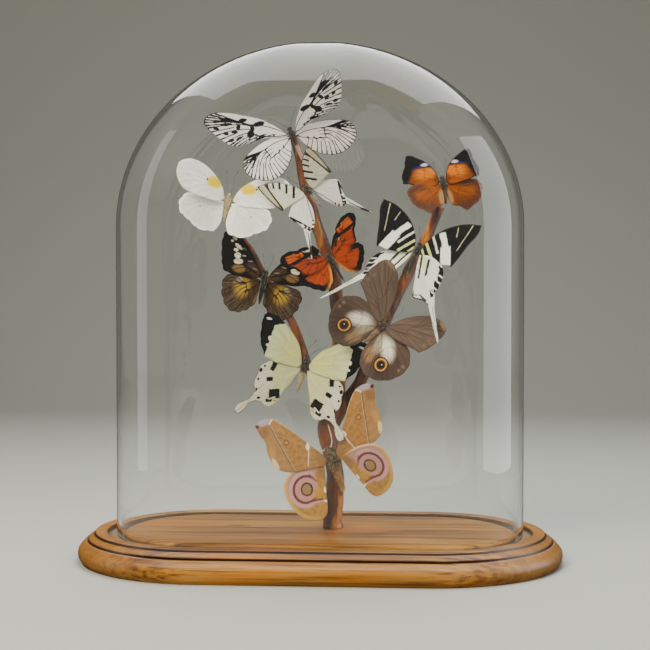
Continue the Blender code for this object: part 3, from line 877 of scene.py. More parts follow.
MOTH_FORE = Pattern(
    ground="#b98648",
    paints=(
        Paint("#94612f", Dust(0.5, 0.35), 0.6),
        Paint("#8a5a30", Dust(0.4, 1.6), 0.4),
        Paint("#c29a66", Streaks(0.45, 3.0, 14.0), 0.4),
        Paint("#8a5f3a", Oval(5, 4, 9, 7, 40, 0.9), 0.55),
        Paint("#a98058", Beyond(32, 22, -11, 2), 0.45),
        Paint("#d9b98c", Border(0.0, 0.9) & Beyond(20, 28, 140, 4), 0.8),
        Paint("#d9c2ac", Bar(33.5, 22, 20.5, 0.25, 80, 0.5), 0.5),
        Paint("#6b4a38", Bar(34.1, 22, 20.5, 0.35, 80, 0.4), 0.85),
        Paint("#dcc0ac", Bar(16.6, 9.5, 8.0, 0.55, -68)),
        Paint("#7a5138", Bar(17.6, 9.2, 8.0, 0.3, -68, 0.4), 0.6),
        Paint("#eee2d2", Oval(15.0, 15.8, 1.5, 2.6, 20, 0.4)),
        Paint("#8a5a32", Oval(29.4, 24.6, 2.3, 2.3, 0, 0.4)),
        Paint("#bb8a58", Oval(29.4, 24.6, 1.3, 1.3, 0, 0.4)),
        Paint("#b3a4ac", Oval(41.5, 44.8, 5.4, 2.8, 0, 0.5)),
        Paint("#ece0d4", Bar(35.6, 43.4, 2.6, 0.5, -38, 0.5)),
        Paint("#5a3b2a", Oval(46.3, 43.4, 1.4, 1.4, 0, 0.6)),
        Paint("#8a5f40", Oval(43.0, 38.0, 4.0, 4.0, 0, 0.9), 0.6),
        Paint("#e2c69a", Oval(42.6, 12.5, 1.9, 5.2, -8, 0.6)),
        Paint("#c99a5c", Oval(42.0, 22.0, 2.5, 4.0, 0, 0.9), 0.6),
    ),
    roughness=0.8,
    sheen=0.5,
)
MOTH_HIND = Pattern(
    ground="#bf9148",
    paints=(
        Paint("#9c6c30", Dust(0.5, 0.35), 0.55),
        Paint("#b98a7c", Oval(27, -9, 17, 14, 0, 0.35) & Beyond(20, -8, 50, 8)),
        Paint("#cf9c98", Ring(27.0, -12.5, 12.0, 1.6, 1.6) & Beyond(22, -16, 20, 6)),
        Paint("#c58f84", Oval(26.5, -12.5, 9.6, 9.2, 0, 0.3) & Beyond(17, -14, 35, 7)),
        Paint("#742a34", Ring(27.0, -12.5, 9.7, 0.95, 0.9) & Beyond(20, -12, 10, 4)),
        Paint("#7d3038", Bar(22.8, -22.8, 6.0, 0.6, 12, 0.7)),
        Paint("#cf9c98", Bar(22.6, -24.4, 6.0, 0.7, 12, 0.9), 0.8),
        Paint("#6f4a44", Bar(19.0, -6.5, 4.5, 0.6, 65, 0.9), 0.7),
        Paint("#c9953f", Oval(20.5, -18.0, 5.0, 3.4, 15, 0.8), 0.7),
        Paint("#3f3326", Oval(26.4, -12.6, 4.9, 5.2, 0, 0.16)),
        Paint("#a97a45", Oval(26.6, -12.6, 3.5, 3.8, 0, 0.3)),
        Paint("#7d8078", Oval(25.0, -11.4, 1.6, 2.4, 20, 0.8), 0.6),
        Paint("#e3cda0", Border(0.0, 1.3, 1.4) & Beyond(24, -4, 45, 14), 0.9),
        Paint("#d2a75c", Border(0.0, 2.6, 2.0) & Beyond(30, -18, -20, 12), 0.8),
        Paint("#efe6da", Oval(13.4, -18.6, 0.9, 2.2, 10, 0.5) | Oval(15.2, -26.6, 2.0, 0.9, 35, 0.5)),
        Paint("#8a5c3a", Oval(11, -5, 4, 5, 20, 0.9), 0.6),
    ),
    roughness=0.8,
    sheen=0.5,
)

SPECIES = (
    Species(
        name="tree_nymph",
        turn=23,
        roll=-1,
        pitch=9,
        left_forewing=WingPose(22, 3, 7),
        right_forewing=WingPose(30, 1, 24),
        left_hindwing=WingPose(28, 2, -11),
        right_hindwing=WingPose(24, -3, 12),
        fore=WingKind(
            (
                (3, 2, True), (10, 10), (19, 19), (29, 25), (40, 31), (50, 35), (58, 35), (62, 32),
                (61, 27), (56, 19), (50, 11), (44, 7.5), (34, 6.5), (22, 6), (10, 3),
            ),
            Venation((30, 19.0), (31, 12.0), 5.3, 12.4, 9, 0.55),
            NYMPH_FORE,
            overlap=-0.8,
            scallop=0.15,
        ),
        hind=WingKind(
            (
                (2.5, -0.5, True), (12, 3.5), (24, 3.5), (35, 1.5), (42, -1), (46, -5), (47, -10),
                (45, -16), (40, -20), (33, -23), (25, -23.5), (18, -21), (11, -16), (6, -9),
            ),
            Venation((26, -1.5), (24, -9.0), 4.1, 12.8, 10, 0.55),
            NYMPH_HIND,
            overlap=0.8,
            scallop=0.45,
        ),
        body=BodyKind(9.0, 2.4, 1.5, 20.0, 1.5, 1.4, 500, "#3a2c26", "#d9b3a2", "#c99a88"),
        antennae=AntennaKind(
            ((1, 7), (4, 12), (8, 16), (11, 19)),
            ((-1, 7), (-5, 12), (-8, 16), (-11, 19)), 0.1, 0.2, "#241a16",
        ),
    ),
    Species(
        name="white_sulphur",
        turn=-11,
        roll=3,
        pitch=-7,
        left_forewing=WingPose(31, -3, -6),
        right_forewing=WingPose(18, -2, -6),
        left_hindwing=WingPose(17, -3, -7),
        right_hindwing=WingPose(18, -5, -10),
        fore=WingKind(
            (
                (3, 3, True), (5.5, 10), (10, 16), (18, 22), (27, 25.5), (36, 25.5), (43, 21.5),
                (44.5, 15), (43, 9), (38, 3.5), (30, 1.5), (20, 0.8), (10, 0.3),
            ),
            Venation((20, 16), (21, 10), 3.6, 11.0, 9),
            SULPHUR_FORE,
            overlap=-1.0,
            scallop=0.0,
        ),
        hind=WingKind(
            (
                (3, -0.5, True), (13, 1), (23, 2.5), (31, 1), (35, -3), (36, -8), (34, -13.5, True),
                (30, -16), (25, -19.5), (21, -22.5, True), (14, -23), (8, -21.5), (4, -16), (3, -8),
            ),
            Venation((19, -3), (17, -9), 2.6, 11.4, 8),
            SULPHUR_HIND,
            overlap=1.0,
            scallop=0.9,
        ),
        body=BodyKind(9.0, 2.3, 1.5, 9.0, 1.6, 2.0, 700, "#d2bf9a", "#d4c09a", "#dccbaa"),
        antennae=AntennaKind(
            ((0.8, 7), (2, 13), (1, 19), (3.5, 24)),
            ((-0.8, 7), (-3, 13), (-4, 18), (-5, 23)), 0.1, 0.35, "#8a5c50",
        ),
    ),
    Species(
        name="striped_swordtail",
        turn=39,
        roll=-3,
        pitch=4,
        left_forewing=WingPose(24, -1, -8),
        right_forewing=WingPose(33, -2, 13),
        left_hindwing=WingPose(25, 3, -1),
        right_hindwing=WingPose(28, -1, 2),
        fore=WingKind(
            (
                (3.5, 1.5, True), (5.5, 8), (9, 14), (13, 19), (19, 23), (27, 26, True), (27.5, 19),
                (27, 10), (26, 0.5, True), (19, 0.5), (11, -0.5), (5, -1),
            ),
            Venation((16, 15), (15, 7), 4.2, 9.4, 8),
            SWORDTAIL_FORE,
            overlap=-0.6,
            scallop=0.0,
        ),
        hind=WingKind(
            (
                (4, -1.5, True), (11, -1), (18, -3), (24, -7), (23.5, -12), (21, -18), (20.4, -24.6, True),
                (20.9, -27.0), (23.4, -31.4), (30, -41), (29, -41.6), (22.4, -31.9), (19.9, -27.5),
                (17.2, -25.6, True),
                (12, -23), (8, -18),
                (5, -11),
            ),
            Venation((14, -6), (11, -12), 2.6, 14.6, 7),
            SWORDTAIL_HIND,
            overlap=0.6,
            scallop=0.25,
        ),
        body=BodyKind(7.0, 2.2, 1.4, 12.0, 1.5, 1.4, 500, "#4a4038", "#b7ab98", "#6a5f52"),
        antennae=AntennaKind(
            ((0.8, 6), (3, 9), (5, 13), (6, 17)),
            ((-0.8, 6), (-3, 9), (-5, 13), (-5, 17)), 0.1, 0.25, "#2a211c",
        ),
    ),
    Species(
        name="orange_leafwing",
        turn=8,
        roll=-4,
        pitch=2,
        left_forewing=WingPose(24, 1, 1),
        right_forewing=WingPose(35, -2, 8),
        left_hindwing=WingPose(29, 2, -14),
        right_hindwing=WingPose(30, -2, 9),
        fore=WingKind(
            (
                (2.5, 3, True), (4.5, 9), (8, 14.5), (14, 19), (20, 22), (26, 23.5, True), (27.5, 20),
                (28.5, 15), (31, 10), (31, 4, True), (24, 3), (15, 2), (7, 1.2),
            ),
            Venation((14, 13), (14, 7), 4.0, 10.6, 8),
            LEAFWING_FORE,
            overlap=-1.5,
            scallop=0.45,
        ),
        hind=WingKind(
            (
                (2.5, -1, True), (10, 0.5), (19, 1.5), (26, 0.5), (30, -3), (29, -9), (26, -14),
                (21, -17), (15, -20.5, True), (11, -17), (6, -15.5), (2.5, -13.5), (1.5, -7),
            ),
            Venation((13, -2), (11, -8), 2.6, 10.4, 8),
            LEAFWING_HIND,
            overlap=1.5,
            scallop=0.5,
        ),
        body=BodyKind(8.0, 2.3, 1.5, 10.0, 1.7, 1.7, 500, "#4c3424", "#7a563a", "#6a4a34"),
        antennae=AntennaKind(
            ((0.8, 6), (3, 10), (4, 14), (4, 18)),
            ((-0.8, 6), (-3, 10), (-5, 14), (-5, 17)), 0.09, 0.22, "#241a16",
        ),
    ),
    Species(
        name="brown_clipper",
        turn=-12,
        roll=3,
        pitch=7,
        left_forewing=WingPose(12, 0, -2),
        right_forewing=WingPose(10, 2, -1),
        left_hindwing=WingPose(14, -1, -3),
        right_hindwing=WingPose(10, -5, 14),
        fore=WingKind(
            (
                (2.5, 3, True), (5, 8), (10, 15), (16, 22), (23, 28), (31, 31.5), (35.5, 29), (36, 22),
                (34.5, 13), (33, 7), (30, 2.5), (20, 1.8), (11, 1.2),
            ),
            Venation((17, 17), (17, 9), 3.6, 11.2, 9),
            CLIPPER_FORE,
            overlap=-1.6,
            scallop=0.7,
        ),
        hind=WingKind(
            (
                (2.5, -1.5, True), (14, 0), (24, 0), (29.5, -2.5), (30, -9), (29, -15), (26, -21),
                (22, -25), (17, -26), (12, -24.5), (8, -22), (4, -17), (2.5, -10),
            ),
            Venation((14, -4), (12, -10), 1.8, 11.4, 9),
            CLIPPER_HIND,
            overlap=1.6,
            scallop=1.0,
        ),
        body=BodyKind(9.0, 2.5, 1.7, 14.0, 1.8, 1.4, 600, "#1f1813", SWORD_INK, "#3a2e26"),
        antennae=AntennaKind(
            ((0.8, 7), (2, 12), (3, 16), (3, 20)),
            ((-0.8, 7), (-2, 12), (-4, 16), (-5, 20)), 0.1, 0.25, "#1d1512",
        ),
    ),
    Species(
        name="orange_longwing",
        turn=32,
        roll=-2,
        pitch=3,
        left_forewing=WingPose(21, 0, 6),
        right_forewing=WingPose(17, 2, 2),
        left_hindwing=WingPose(18, 2, -2),
        right_hindwing=WingPose(27, -1, 3),
        fore=WingKind(
            (
                (2.5, 3, True), (6, 9), (11, 14), (17, 19), (25, 22.5), (32, 22), (34, 18.5),
                (31.5, 14), (27, 9.5), (24, 3.5), (16, 1.5), (9, 1.2),
            ),
            Venation((16, 12.5), (15, 7), 3.6, 10.2, 9),
            LONGWING_FORE,
            overlap=-1.6,
            scallop=0.35,
        ),
        hind=WingKind(
            (
                (2.5, -1, True), (12, 1.5), (21, 2.5), (26.5, 1.5), (27.5, -2.5), (25, -7),
                (21, -11.5), (16, -15.5), (11.5, -15.5), (7, -12), (4, -7),
            ),
            Venation((13, -1), (11, -6), 2.2, 9.4, 8),
            LONGWING_HIND,
            overlap=1.6,
            scallop=0.7,
        ),
        body=BodyKind(7.0, 2.3, 1.5, 14.0, 1.2, 1.2, 500, "#2a1d16", "#4a3020", "#2a1d16"),
        antennae=AntennaKind(
            ((0.8, 6), (2, 11), (3, 16), (3, 19)),
            ((-0.8, 6), (-3, 11), (-5, 15), (-6, 18)), 0.09, 0.25, "#1d1512",
        ),
    ),
    Species(
        name="zebra_swordtail",
        turn=-15,
        roll=-24,
        pitch=-18,
        left_forewing=WingPose(8, 1, 0),
        right_forewing=WingPose(3, -1, -1),
        left_hindwing=WingPose(-9, 10, -17),
        right_hindwing=WingPose(21, 2, 6),
        fore=WingKind(
            (
                (2.5, 1, True), (4, 8), (8, 15), (13, 21), (20, 26), (29, 30), (39, 31.5, True),
                (39, 24), (35.5, 14), (32.5, 3), (30, -5, True), (22, -5), (12, -3.5), (5, -1.5),
            ),
            Venation((21, 17), (20, 8), 4.6, 11.4, 9),
            ZEBRA_FORE,
            overlap=-1.0,
            scallop=0.0,
        ),
        hind=WingKind(
            (
                (3, -3, True), (13, -3.5), (21, -7), (27, -12), (29.5, -19), (28, -27), (25.2, -32),
                (26.0, -38.0), (28.8, -44.5), (34.2, -54), (41.5, -66.5), (40.2, -67), (32.0, -54.8),
                (26.4, -45.8), (22.6, -39.8), (15, -37),
                (7, -36, True), (6, -30), (4.5, -20), (3, -11),
            ),
            Venation((16, -11), (12, -18), 2.6, 16.2, 8),
            ZEBRA_HIND,
            overlap=0.6,
            scallop=0.3,
        ),
        body=BodyKind(9.0, 2.3, 1.5, 17.0, 1.7, 1.4, 500, "#2a211c", "#3a3028", "#8a8068"),
        antennae=AntennaKind(
            ((0.8, 7), (2, 12), (4, 15), (5, 18)),
            ((-0.8, 7), (-2, 12), (-3, 15), (-4, 18)), 0.1, 0.25, "#1d1512",
        ),
    ),
    Species(
        name="eyespot_butterfly",
        turn=-48,
        roll=-3,
        pitch=3,
        left_forewing=WingPose(17, 1, 3),
        right_forewing=WingPose(26, -2, 6),
        left_hindwing=WingPose(21, -1, -4),
        right_hindwing=WingPose(21, 0, 0),
        fore=WingKind(
            (
                (2.5, 2.5, True), (5, 11), (9, 19), (15, 27), (22, 33), (31, 35.5), (36.5, 33),
                (38, 26), (37.5, 17), (35, 9, True), (26, 6), (17, 3.2), (8, 1),
            ),
            Venation((18, 19), (17, 10), 3.6, 10.4, 9),
            EYESPOT_FORE,
            overlap=-1.4,
            scallop=0.2,
        ),
        hind=WingKind(
            (
                (2.5, -1.5, True), (12, 1.5), (22, 3), (31, 0.5), (36, -5), (37, -12), (34.5, -20),
                (29, -27), (21, -31.5), (13, -31), (7, -27), (3, -19), (1.5, -10),
            ),
            Venation((17, -4), (14, -12), 2.2, 11.2, 9),
            EYESPOT_HIND,
            overlap=1.4,
            scallop=0.5,
        ),
        body=BodyKind(9.0, 2.6, 1.7, 13.0, 2.0, 1.6, 600, "#4c3a2c", "#a88a6a", "#8a6e54"),
        antennae=AntennaKind(
            ((0.8, 7), (2, 12), (2, 17), (0, 21)),
            ((-0.8, 7), (-3, 12), (-5, 15), (-8, 18)), 0.1, 0.2, "#2a1d16",
        ),
    ),
    Species(
        name="cream_swallowtail",
        turn=-16,
        roll=1,
        pitch=3,
        left_forewing=WingPose(24, 1, 1),
        right_forewing=WingPose(21, -2, 5),
        left_hindwing=WingPose(23, 0, -1),
        right_hindwing=WingPose(20, 0, -1),
        fore=WingKind(
            (
                (3, 2, True), (6, 8.5), (10, 15), (16, 21), (24, 26.5), (34, 30.5), (41, 31, True),
                (42.5, 27), (41.5, 18), (39, 9.5), (33, 0.5, True), (25, -1), (15, -1.8), (6, -1.5),
            ),
            Venation((22, 16), (21, 8), 4.4, 11.4, 9),
            CREAM_FORE,
            overlap=-1.0,
            scallop=0.55,
        ),
        hind=WingKind(
            (
                (2.5, -3, True), (11, -3), (20, -2.5), (27, -2.5), (33, -8), (34.5, -16), (34, -22),
                (32, -26.5), (33.4, -30.2), (36.6, -33.8), (43, -40), (43.5, -44), (39.9, -43.3),
                (35.0, -36.0), (31.4, -32.6), (27, -32.5), (20, -34.5), (14, -30), (11, -22.5), (7, -14),
            ),
            Venation((17, -8), (14, -14), 2.6, 17.2, 8),
            CREAM_HIND,
            overlap=1.0,
            scallop=1.0,
        ),
        body=BodyKind(10.0, 2.7, 1.7, 15.0, 1.9, 1.6, 700, "#3a3028", "#c9b184", "#c98f4c"),
        antennae=AntennaKind(
            ((0.8, 7), (4, 12), (8, 16), (12, 19)),
            ((-0.8, 7), (-1.5, 12), (1, 17), (3, 21)), 0.1, 0.25, "#1d1512",
        ),
    ),
    Species(
        name="emperor_moth",
        turn=20,
        roll=1,
        pitch=4,
        left_forewing=WingPose(22, 1, 1),
        right_forewing=WingPose(16, -1, -1),
        left_hindwing=WingPose(22, 0, 0),
        right_hindwing=WingPose(27, 1, 8),
        fore=WingKind(
            (
                (4, 3, True), (10, 12), (17, 23), (25, 35), (33, 44), (41, 46.5), (48, 45, True),
                (46.5, 37), (44.5, 30), (45.5, 22), (43.5, 11), (37, 5), (26, 2.5), (15, 0.8),
                (7, -0.5),
            ),
            Venation((26, 27), (25, 15), 4.4, 12.0, 9),
            MOTH_FORE,
            overlap=-1.6,
            scallop=0.0,
        ),
        hind=WingKind(
            (
                (7, -1.5, True), (15, 1), (26, 3), (36, 2.5), (42, -3), (43.5, -11), (42, -20),
                (38, -29), (31, -35), (22, -37.5), (17, -34), (14, -24), (11, -15),
            ),
            Venation((22, -7), (19, -14), 2.2, 10.6, 8),
            MOTH_HIND,
            overlap=1.2,
            scallop=0.0,
        ),
        body=BodyKind(13.0, 3.5, 2.1, 19.0, 2.3, 4.0, 2200, "#5c4728", "#b07c42", "#d89a50"),
        antennae=AntennaKind(
            ((1.5, 8), (4.5, 13), (5.5, 19), (6, 26)),
            ((-1.5, 8), (-6, 9), (-12, 12), (-18, 17)), 0.55, 0.4, "#d8c6a4",
        ),
    ),
)


# ---------------------------------------------------------------------------------------------------------
# Mesh helpers
# ---------------------------------------------------------------------------------------------------------


def show(piece: bpy.types.Object, replaced: Optional[str] = None) -> None:
    """Tie a finished piece to the frame.

    Args:
        piece: the object.
        replaced: the CAD node that it stands for.
    """
    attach(piece, BODY)
    if replaced:
        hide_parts(replaced)


def write_values(mesh: bpy.types.Mesh, name: str, values: np.ndarray) -> None:
    """Store one number for each point of a mesh, for its material to read."""
    attribute = mesh.attributes.new(name, "FLOAT", "POINT")
    attribute.data.foreach_set("value", values.astype(np.float32))


def mesh_object(
    name: str,
    points: np.ndarray,
    faces: Sequence[Sequence[int]],
    material: bpy.types.Material,
    smooth: bool = True,
) -> bpy.types.Object:
    """Make an object from points in metres and faces, and put it in the scene.

    Args:
        name: the object's name.
        points: one row for each point.
        faces: point indices of each face.
        material: its only material.
        smooth: whether faces are shaded smooth.

    Returns:
        The object.
    """
    mesh = bpy.data.meshes.new(name)
    mesh.from_pydata([tuple(p) for p in np.asarray(points, float)], [], [tuple(f) for f in faces])
    mesh.validate()
    mesh.polygons.foreach_set("use_smooth", [smooth] * len(mesh.polygons))
    mesh.materials.append(material)
    obj = bpy.data.objects.new(name, mesh)
    bpy.context.scene.collection.objects.link(obj)
    return obj


def face_out(obj: bpy.types.Object) -> None:
    """Turn all of an object's faces outwards."""
    shape = bmesh.new()
    shape.from_mesh(obj.data)
    bmesh.ops.recalc_face_normals(shape, faces=shape.faces)
    shape.to_mesh(obj.data)
    shape.free()


OUTLINE_STEPS = 9
LONGEST_TANGENT = 1.2


def smooth_outline(outline: Sequence[tuple], steps: int = OUTLINE_STEPS) -> np.ndarray:
    """A closed curve through the points of an outline, sharp where a point ends in True."""
    points = np.array([p[:2] for p in outline], float)
    corner = [len(p) == 3 for p in outline]
    count = len(points)
    curve = []
    for i in range(count):
        start, end = points[i], points[(i + 1) % count]
        before, after = points[i - 1], points[(i + 2) % count]
        chord = float(np.linalg.norm(end - start))
        leave = (end - start) if corner[i] else (end - before) / 2
        arrive = (end - start) if corner[(i + 1) % count] else (after - start) / 2
        for tangent in (leave, arrive):
            size = float(np.linalg.norm(tangent))
            if size > LONGEST_TANGENT * chord:
                tangent *= LONGEST_TANGENT * chord / size
        for k in range(steps):
            t = k / steps
            curve.append(
                (2 * t**3 - 3 * t**2 + 1) * start
                + (t**3 - 2 * t**2 + t) * leave
                + (3 * t**2 - 2 * t**3) * end
                + (t**3 - t**2) * arrive
            )
    return np.array(curve)


def distance_to_lines(points: np.ndarray, starts: np.ndarray, ends: np.ndarray) -> np.ndarray:
    """The distance from each point to the nearest of the straight lines."""
    along = ends - starts
    length = (along**2).sum(1) + 1e-12
    best = np.full(len(points), 1e9)
    for start, run, size in zip(starts, along, length):
        t = np.clip(((points - start) @ run) / size, 0, 1)
        off = points - start - t[:, None] * run
        best = np.minimum(best, np.sqrt((off**2).sum(1)))
    return best


def ripple(x: np.ndarray, y: np.ndarray, seed: float) -> np.ndarray:
    """A smooth uneven surface between about -1 and 1."""
    return (
        np.sin(x * 0.11 + y * 0.07 + seed) * 0.5
        + np.sin(x * 0.05 - y * 0.13 + seed * 2.3) * 0.3
        + np.sin(x * 0.31 + y * 0.23 + seed * 1.7) * 0.2
    )


def tube_rings(path: np.ndarray, radii: np.ndarray, sides: int) -> np.ndarray:
    """Rings of points round a path, with a frame that turns as little as it can."""
    tangents = np.gradient(path, axis=0)
    tangents /= np.linalg.norm(tangents, axis=1)[:, None]
    start = np.array([1.0, 0.0, 0.0]) if abs(tangents[0][0]) < 0.8 else np.array([0.0, 1.0, 0.0])
    normal = start - tangents[0] * (start @ tangents[0])
    normal /= np.linalg.norm(normal)
    angles = np.arange(sides) * 2 * math.pi / sides
    rings = []
    for place, tangent, radius in zip(path, tangents, radii):
        normal = normal - tangent * (normal @ tangent)
        normal /= np.linalg.norm(normal)
        side = np.cross(tangent, normal)
        rings.append(place + radius * (np.outer(np.cos(angles), normal) + np.outer(np.sin(angles), side)))
    return np.array(rings)


def ring_faces(rows: int, sides: int, first: int = 0) -> list[tuple[int, ...]]:
    """Faces between rings of points that follow each other, with both ends closed."""
    faces = []
    for row in range(rows - 1):
        for i in range(sides):
            j = (i + 1) % sides
            a = first + row * sides
            faces.append((a + i, a + j, a + sides + j, a + sides + i))
    faces.append(tuple(first + i for i in reversed(range(sides))))
    faces.append(tuple(first + (rows - 1) * sides + i for i in range(sides)))
    return faces


def curve_through(points: Sequence[Sequence[float]], steps: int) -> np.ndarray:
    """A smooth open curve through points of any width, as rows."""
    places = np.array(points, float)
    padded = np.vstack([2 * places[0] - places[1], places, 2 * places[-1] - places[-2]])
    curve = []
    for i in range(1, len(padded) - 2):
        before, start, end, after = padded[i - 1 : i + 3]
        for k in range(steps):
            t = k / steps
            curve.append(
                0.5
                * (
                    2 * start
                    + (end - before) * t
                    + (2 * before - 5 * start + 4 * end - after) * t**2
                    + (3 * start - before - 3 * end + after) * t**3
                )
            )
    curve.append(padded[-2])
    return np.array(curve)


# ---------------------------------------------------------------------------------------------------------
# Insects
# ---------------------------------------------------------------------------------------------------------


class Side(IntEnum):
    """Which side of the body a wing is on, as the sign of its X."""

    LEFT = -1
    RIGHT = 1


class Wing:
    """One wing as a thin membrane with raised veins, in the place of its CAD plate. Sizes are millimetres."""

    SPACING = 1.0
    HALF_THICKNESS = 0.07
    THIN_EDGE = 0.4
    THINNEST = 0.35
    VEIN_RISE = 0.10
    VEIN_WIDTH = 0.5
    SAG = 0.06
    CAMBER = 0.5
    UNEVEN = 0.35
    CLEARANCE = 0.42
    CELL_TOP_START = 0.88
    CELL_BOTTOM_END = 0.35
    VEIN_POINTS = 9

    def __init__(self, name: str, kind: WingKind, pose: WingPose, side: Side, stance: Matrix, seed: float):
        self.name = name
        self.kind = kind
        self.side = side
        self.stance = stance @ self.hinge(pose, side)
        self.seed = seed

    @staticmethod
    def hinge(pose: WingPose, side: Side) -> Matrix:
        """How the wing is turned at its root."""
        raised = Matrix.Rotation(math.radians(-side * pose.raised), 4, "Y")
        twisted = Matrix.Rotation(math.radians(pose.twisted), 4, "X")
        swept = Matrix.Rotation(math.radians(side * pose.swept), 4, "Z")
        return raised @ twisted @ swept

    def vein_lines(self, outline: np.ndarray, steps: int) -> list[np.ndarray]:
        """The veins as polylines, from the cell to the edge."""
        veins = self.kind.veins
        root = np.array(self.kind.outline[0][:2], float)
        top = np.array(veins.top, float)
        bottom = np.array(veins.bottom, float)
        leave = root + self.CELL_TOP_START * (top - root)
        path = np.array([leave, top, bottom, root + self.CELL_BOTTOM_END * (bottom - root)])
        lines = [self.bowed(root, top, 0.06), self.bowed(root, bottom, -0.05), self.bowed(top, bottom, -0.12)]
        ends = []
        for k in range(veins.count):
            share = k / (veins.count - 1) * 3
            leg = min(int(share), 2)
            start = path[leg] + (share - leg) * (path[leg + 1] - path[leg])
            at = (veins.first + (veins.last - veins.first) * k / (veins.count - 1)) * steps
            end = outline[int(round(at)) % len(outline)]
            away = (start - root) / np.linalg.norm(start - root)
            bend = start + away * np.linalg.norm(end - start) * 0.35
            t = np.linspace(0, 1, self.VEIN_POINTS)[:, None]
            lines.append((1 - t) ** 2 * start + 2 * t * (1 - t) * bend + t**2 * end)
            ends.append(at)
        if veins.spurs > 0:
            reach = int(round((self.VEIN_POINTS - 1) * (1 - veins.spurs)))
            for k in range(3, 2 + veins.count):
                inner = (lines[k][reach] + lines[k + 1][reach]) / 2
                tip = outline[int(round((ends[k - 3] + ends[k - 2]) / 2)) % len(outline)]
                lines.append(inner + np.linspace(0, 1, 6)[:, None] * (tip - inner))
        return lines

    def margin(self, steps: int) -> np.ndarray:
        """The wing's own edge: its outline with the overlap and the scallops."""
        outline = smooth_outline(self.kind.outline, steps)
        x, y = outline[:, 0].copy(), outline[:, 1].copy()
        push = self.kind.overlap
        near = np.clip((x.max() * 0.9 - x) / (x.max() * 0.35), 0, 1) * np.clip(x / 4, 0, 1)
        facing = np.clip((7 - y) / 5, 0, 1) if push < 0 else np.clip((y + 5) / 4, 0, 1)
        outline[:, 1] += push * near * facing
        if self.kind.scallop > 0:
            veins = self.kind.veins
            at = np.arange(len(outline)) / steps
            phase = (at - veins.first) / (veins.last - veins.first) * (veins.count - 1)
            on_margin = (phase > 0) & (phase < veins.count - 1)
            depth = np.where(on_margin, np.abs(np.sin(phase * math.pi)) ** 0.8, 0) * self.kind.scallop
            along = np.roll(outline, -1, axis=0) - np.roll(outline, 1, axis=0)
            along /= np.linalg.norm(along, axis=1)[:, None] + 1e-9
            inward = np.stack([-along[:, 1], along[:, 0]], 1) * self.turn_sign(outline)
            outline += inward * depth[:, None]
        return outline

    @staticmethod
    def turn_sign(outline: np.ndarray) -> float:
        """1 where the outline runs clockwise and -1 where it runs the other way."""
        x, y = outline[:, 0], outline[:, 1]
        area = float((x * np.roll(y, -1) - np.roll(x, -1) * y).sum())
        return -1.0 if area > 0 else 1.0

    @staticmethod
    def bowed(start: np.ndarray, end: np.ndarray, bow: float) -> np.ndarray:
        """A shallow arc between two points."""
        t = np.linspace(0, 1, 9)[:, None]
        run = end - start
        side = np.array([-run[1], run[0]])
        return start + t * run + side * bow * 4 * t * (1 - t)

    def flat_mesh(self) -> tuple[np.ndarray, list, np.ndarray, np.ndarray]:
        """Points, triangles, and distances to the edge and to the veins, in the wing's plane."""
        outline = self.margin(OUTLINE_STEPS)
        lines = self.vein_lines(outline, OUTLINE_STEPS)
        count = len(outline)
        edges = [(i, (i + 1) % count) for i in range(count)]
        points = [tuple(p) for p in outline]
        for line in lines:
            first = len(points)
            points += [tuple(p) for p in line]
            edges += [(first + i, first + i + 1) for i in range(len(line) - 1)]
        seg_a = np.vstack([line[:-1] for line in lines])
        seg_b = np.vstack([line[1:] for line in lines])
        out_a, out_b = outline, np.roll(outline, -1, axis=0)
        low, high = outline.min(0), outline.max(0)
        xs = np.arange(low[0], high[0], self.SPACING)
        ys = np.arange(low[1], high[1], self.SPACING * 0.87)
        grid = np.array([(x + (j % 2) * self.SPACING / 2, y) for j, y in enumerate(ys) for x in xs])
        clear = distance_to_lines(grid, np.vstack([out_a, seg_a]), np.vstack([out_b, seg_b]))
        points += [tuple(p) for p in grid[clear > self.CLEARANCE]]
        made = delaunay_2d_cdt([Vector(p) for p in points], edges, [list(range(count))], 1, 1e-4)
        flat = np.array([tuple(v) for v in made[0]])
        faces = [tuple(f) for f in made[2]]
        return flat, faces, distance_to_lines(flat, out_a, out_b), distance_to_lines(flat, seg_a, seg_b)

    def relief(self, flat: np.ndarray, edge: np.ndarray, vein: np.ndarray) -> np.ndarray:
        """Height of the membrane: a slight camber, unevenness, and a ridge on each vein."""
        reach = np.linalg.norm(flat, axis=1)
        far = reach / reach.max()
        camber = -self.CAMBER * far**2
        uneven = self.UNEVEN * far * ripple(flat[:, 0], flat[:, 1], self.seed)
        ridge = self.VEIN_RISE * np.exp(-((vein / self.VEIN_WIDTH) ** 2))
        sag = -self.SAG * np.clip(vein - 0.4, 0, 1.5)
        return camber + uneven + ridge + sag

    def offset(self) -> Vector:
        """Where the insect's centre lies, from the place of this wing's CAD plate."""
        outline = smooth_outline(self.kind.outline)
        places = [self.stance @ Vector((self.side * x * MM, y * MM, 0)) for x, y in outline]
        low = Vector([min(p[i] for p in places) for i in range(3)])
        high = Vector([max(p[i] for p in places) for i in range(3)])
        cad_low, cad_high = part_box(self.name)
        return (cad_low + cad_high) / 2 - (low + high) / 2

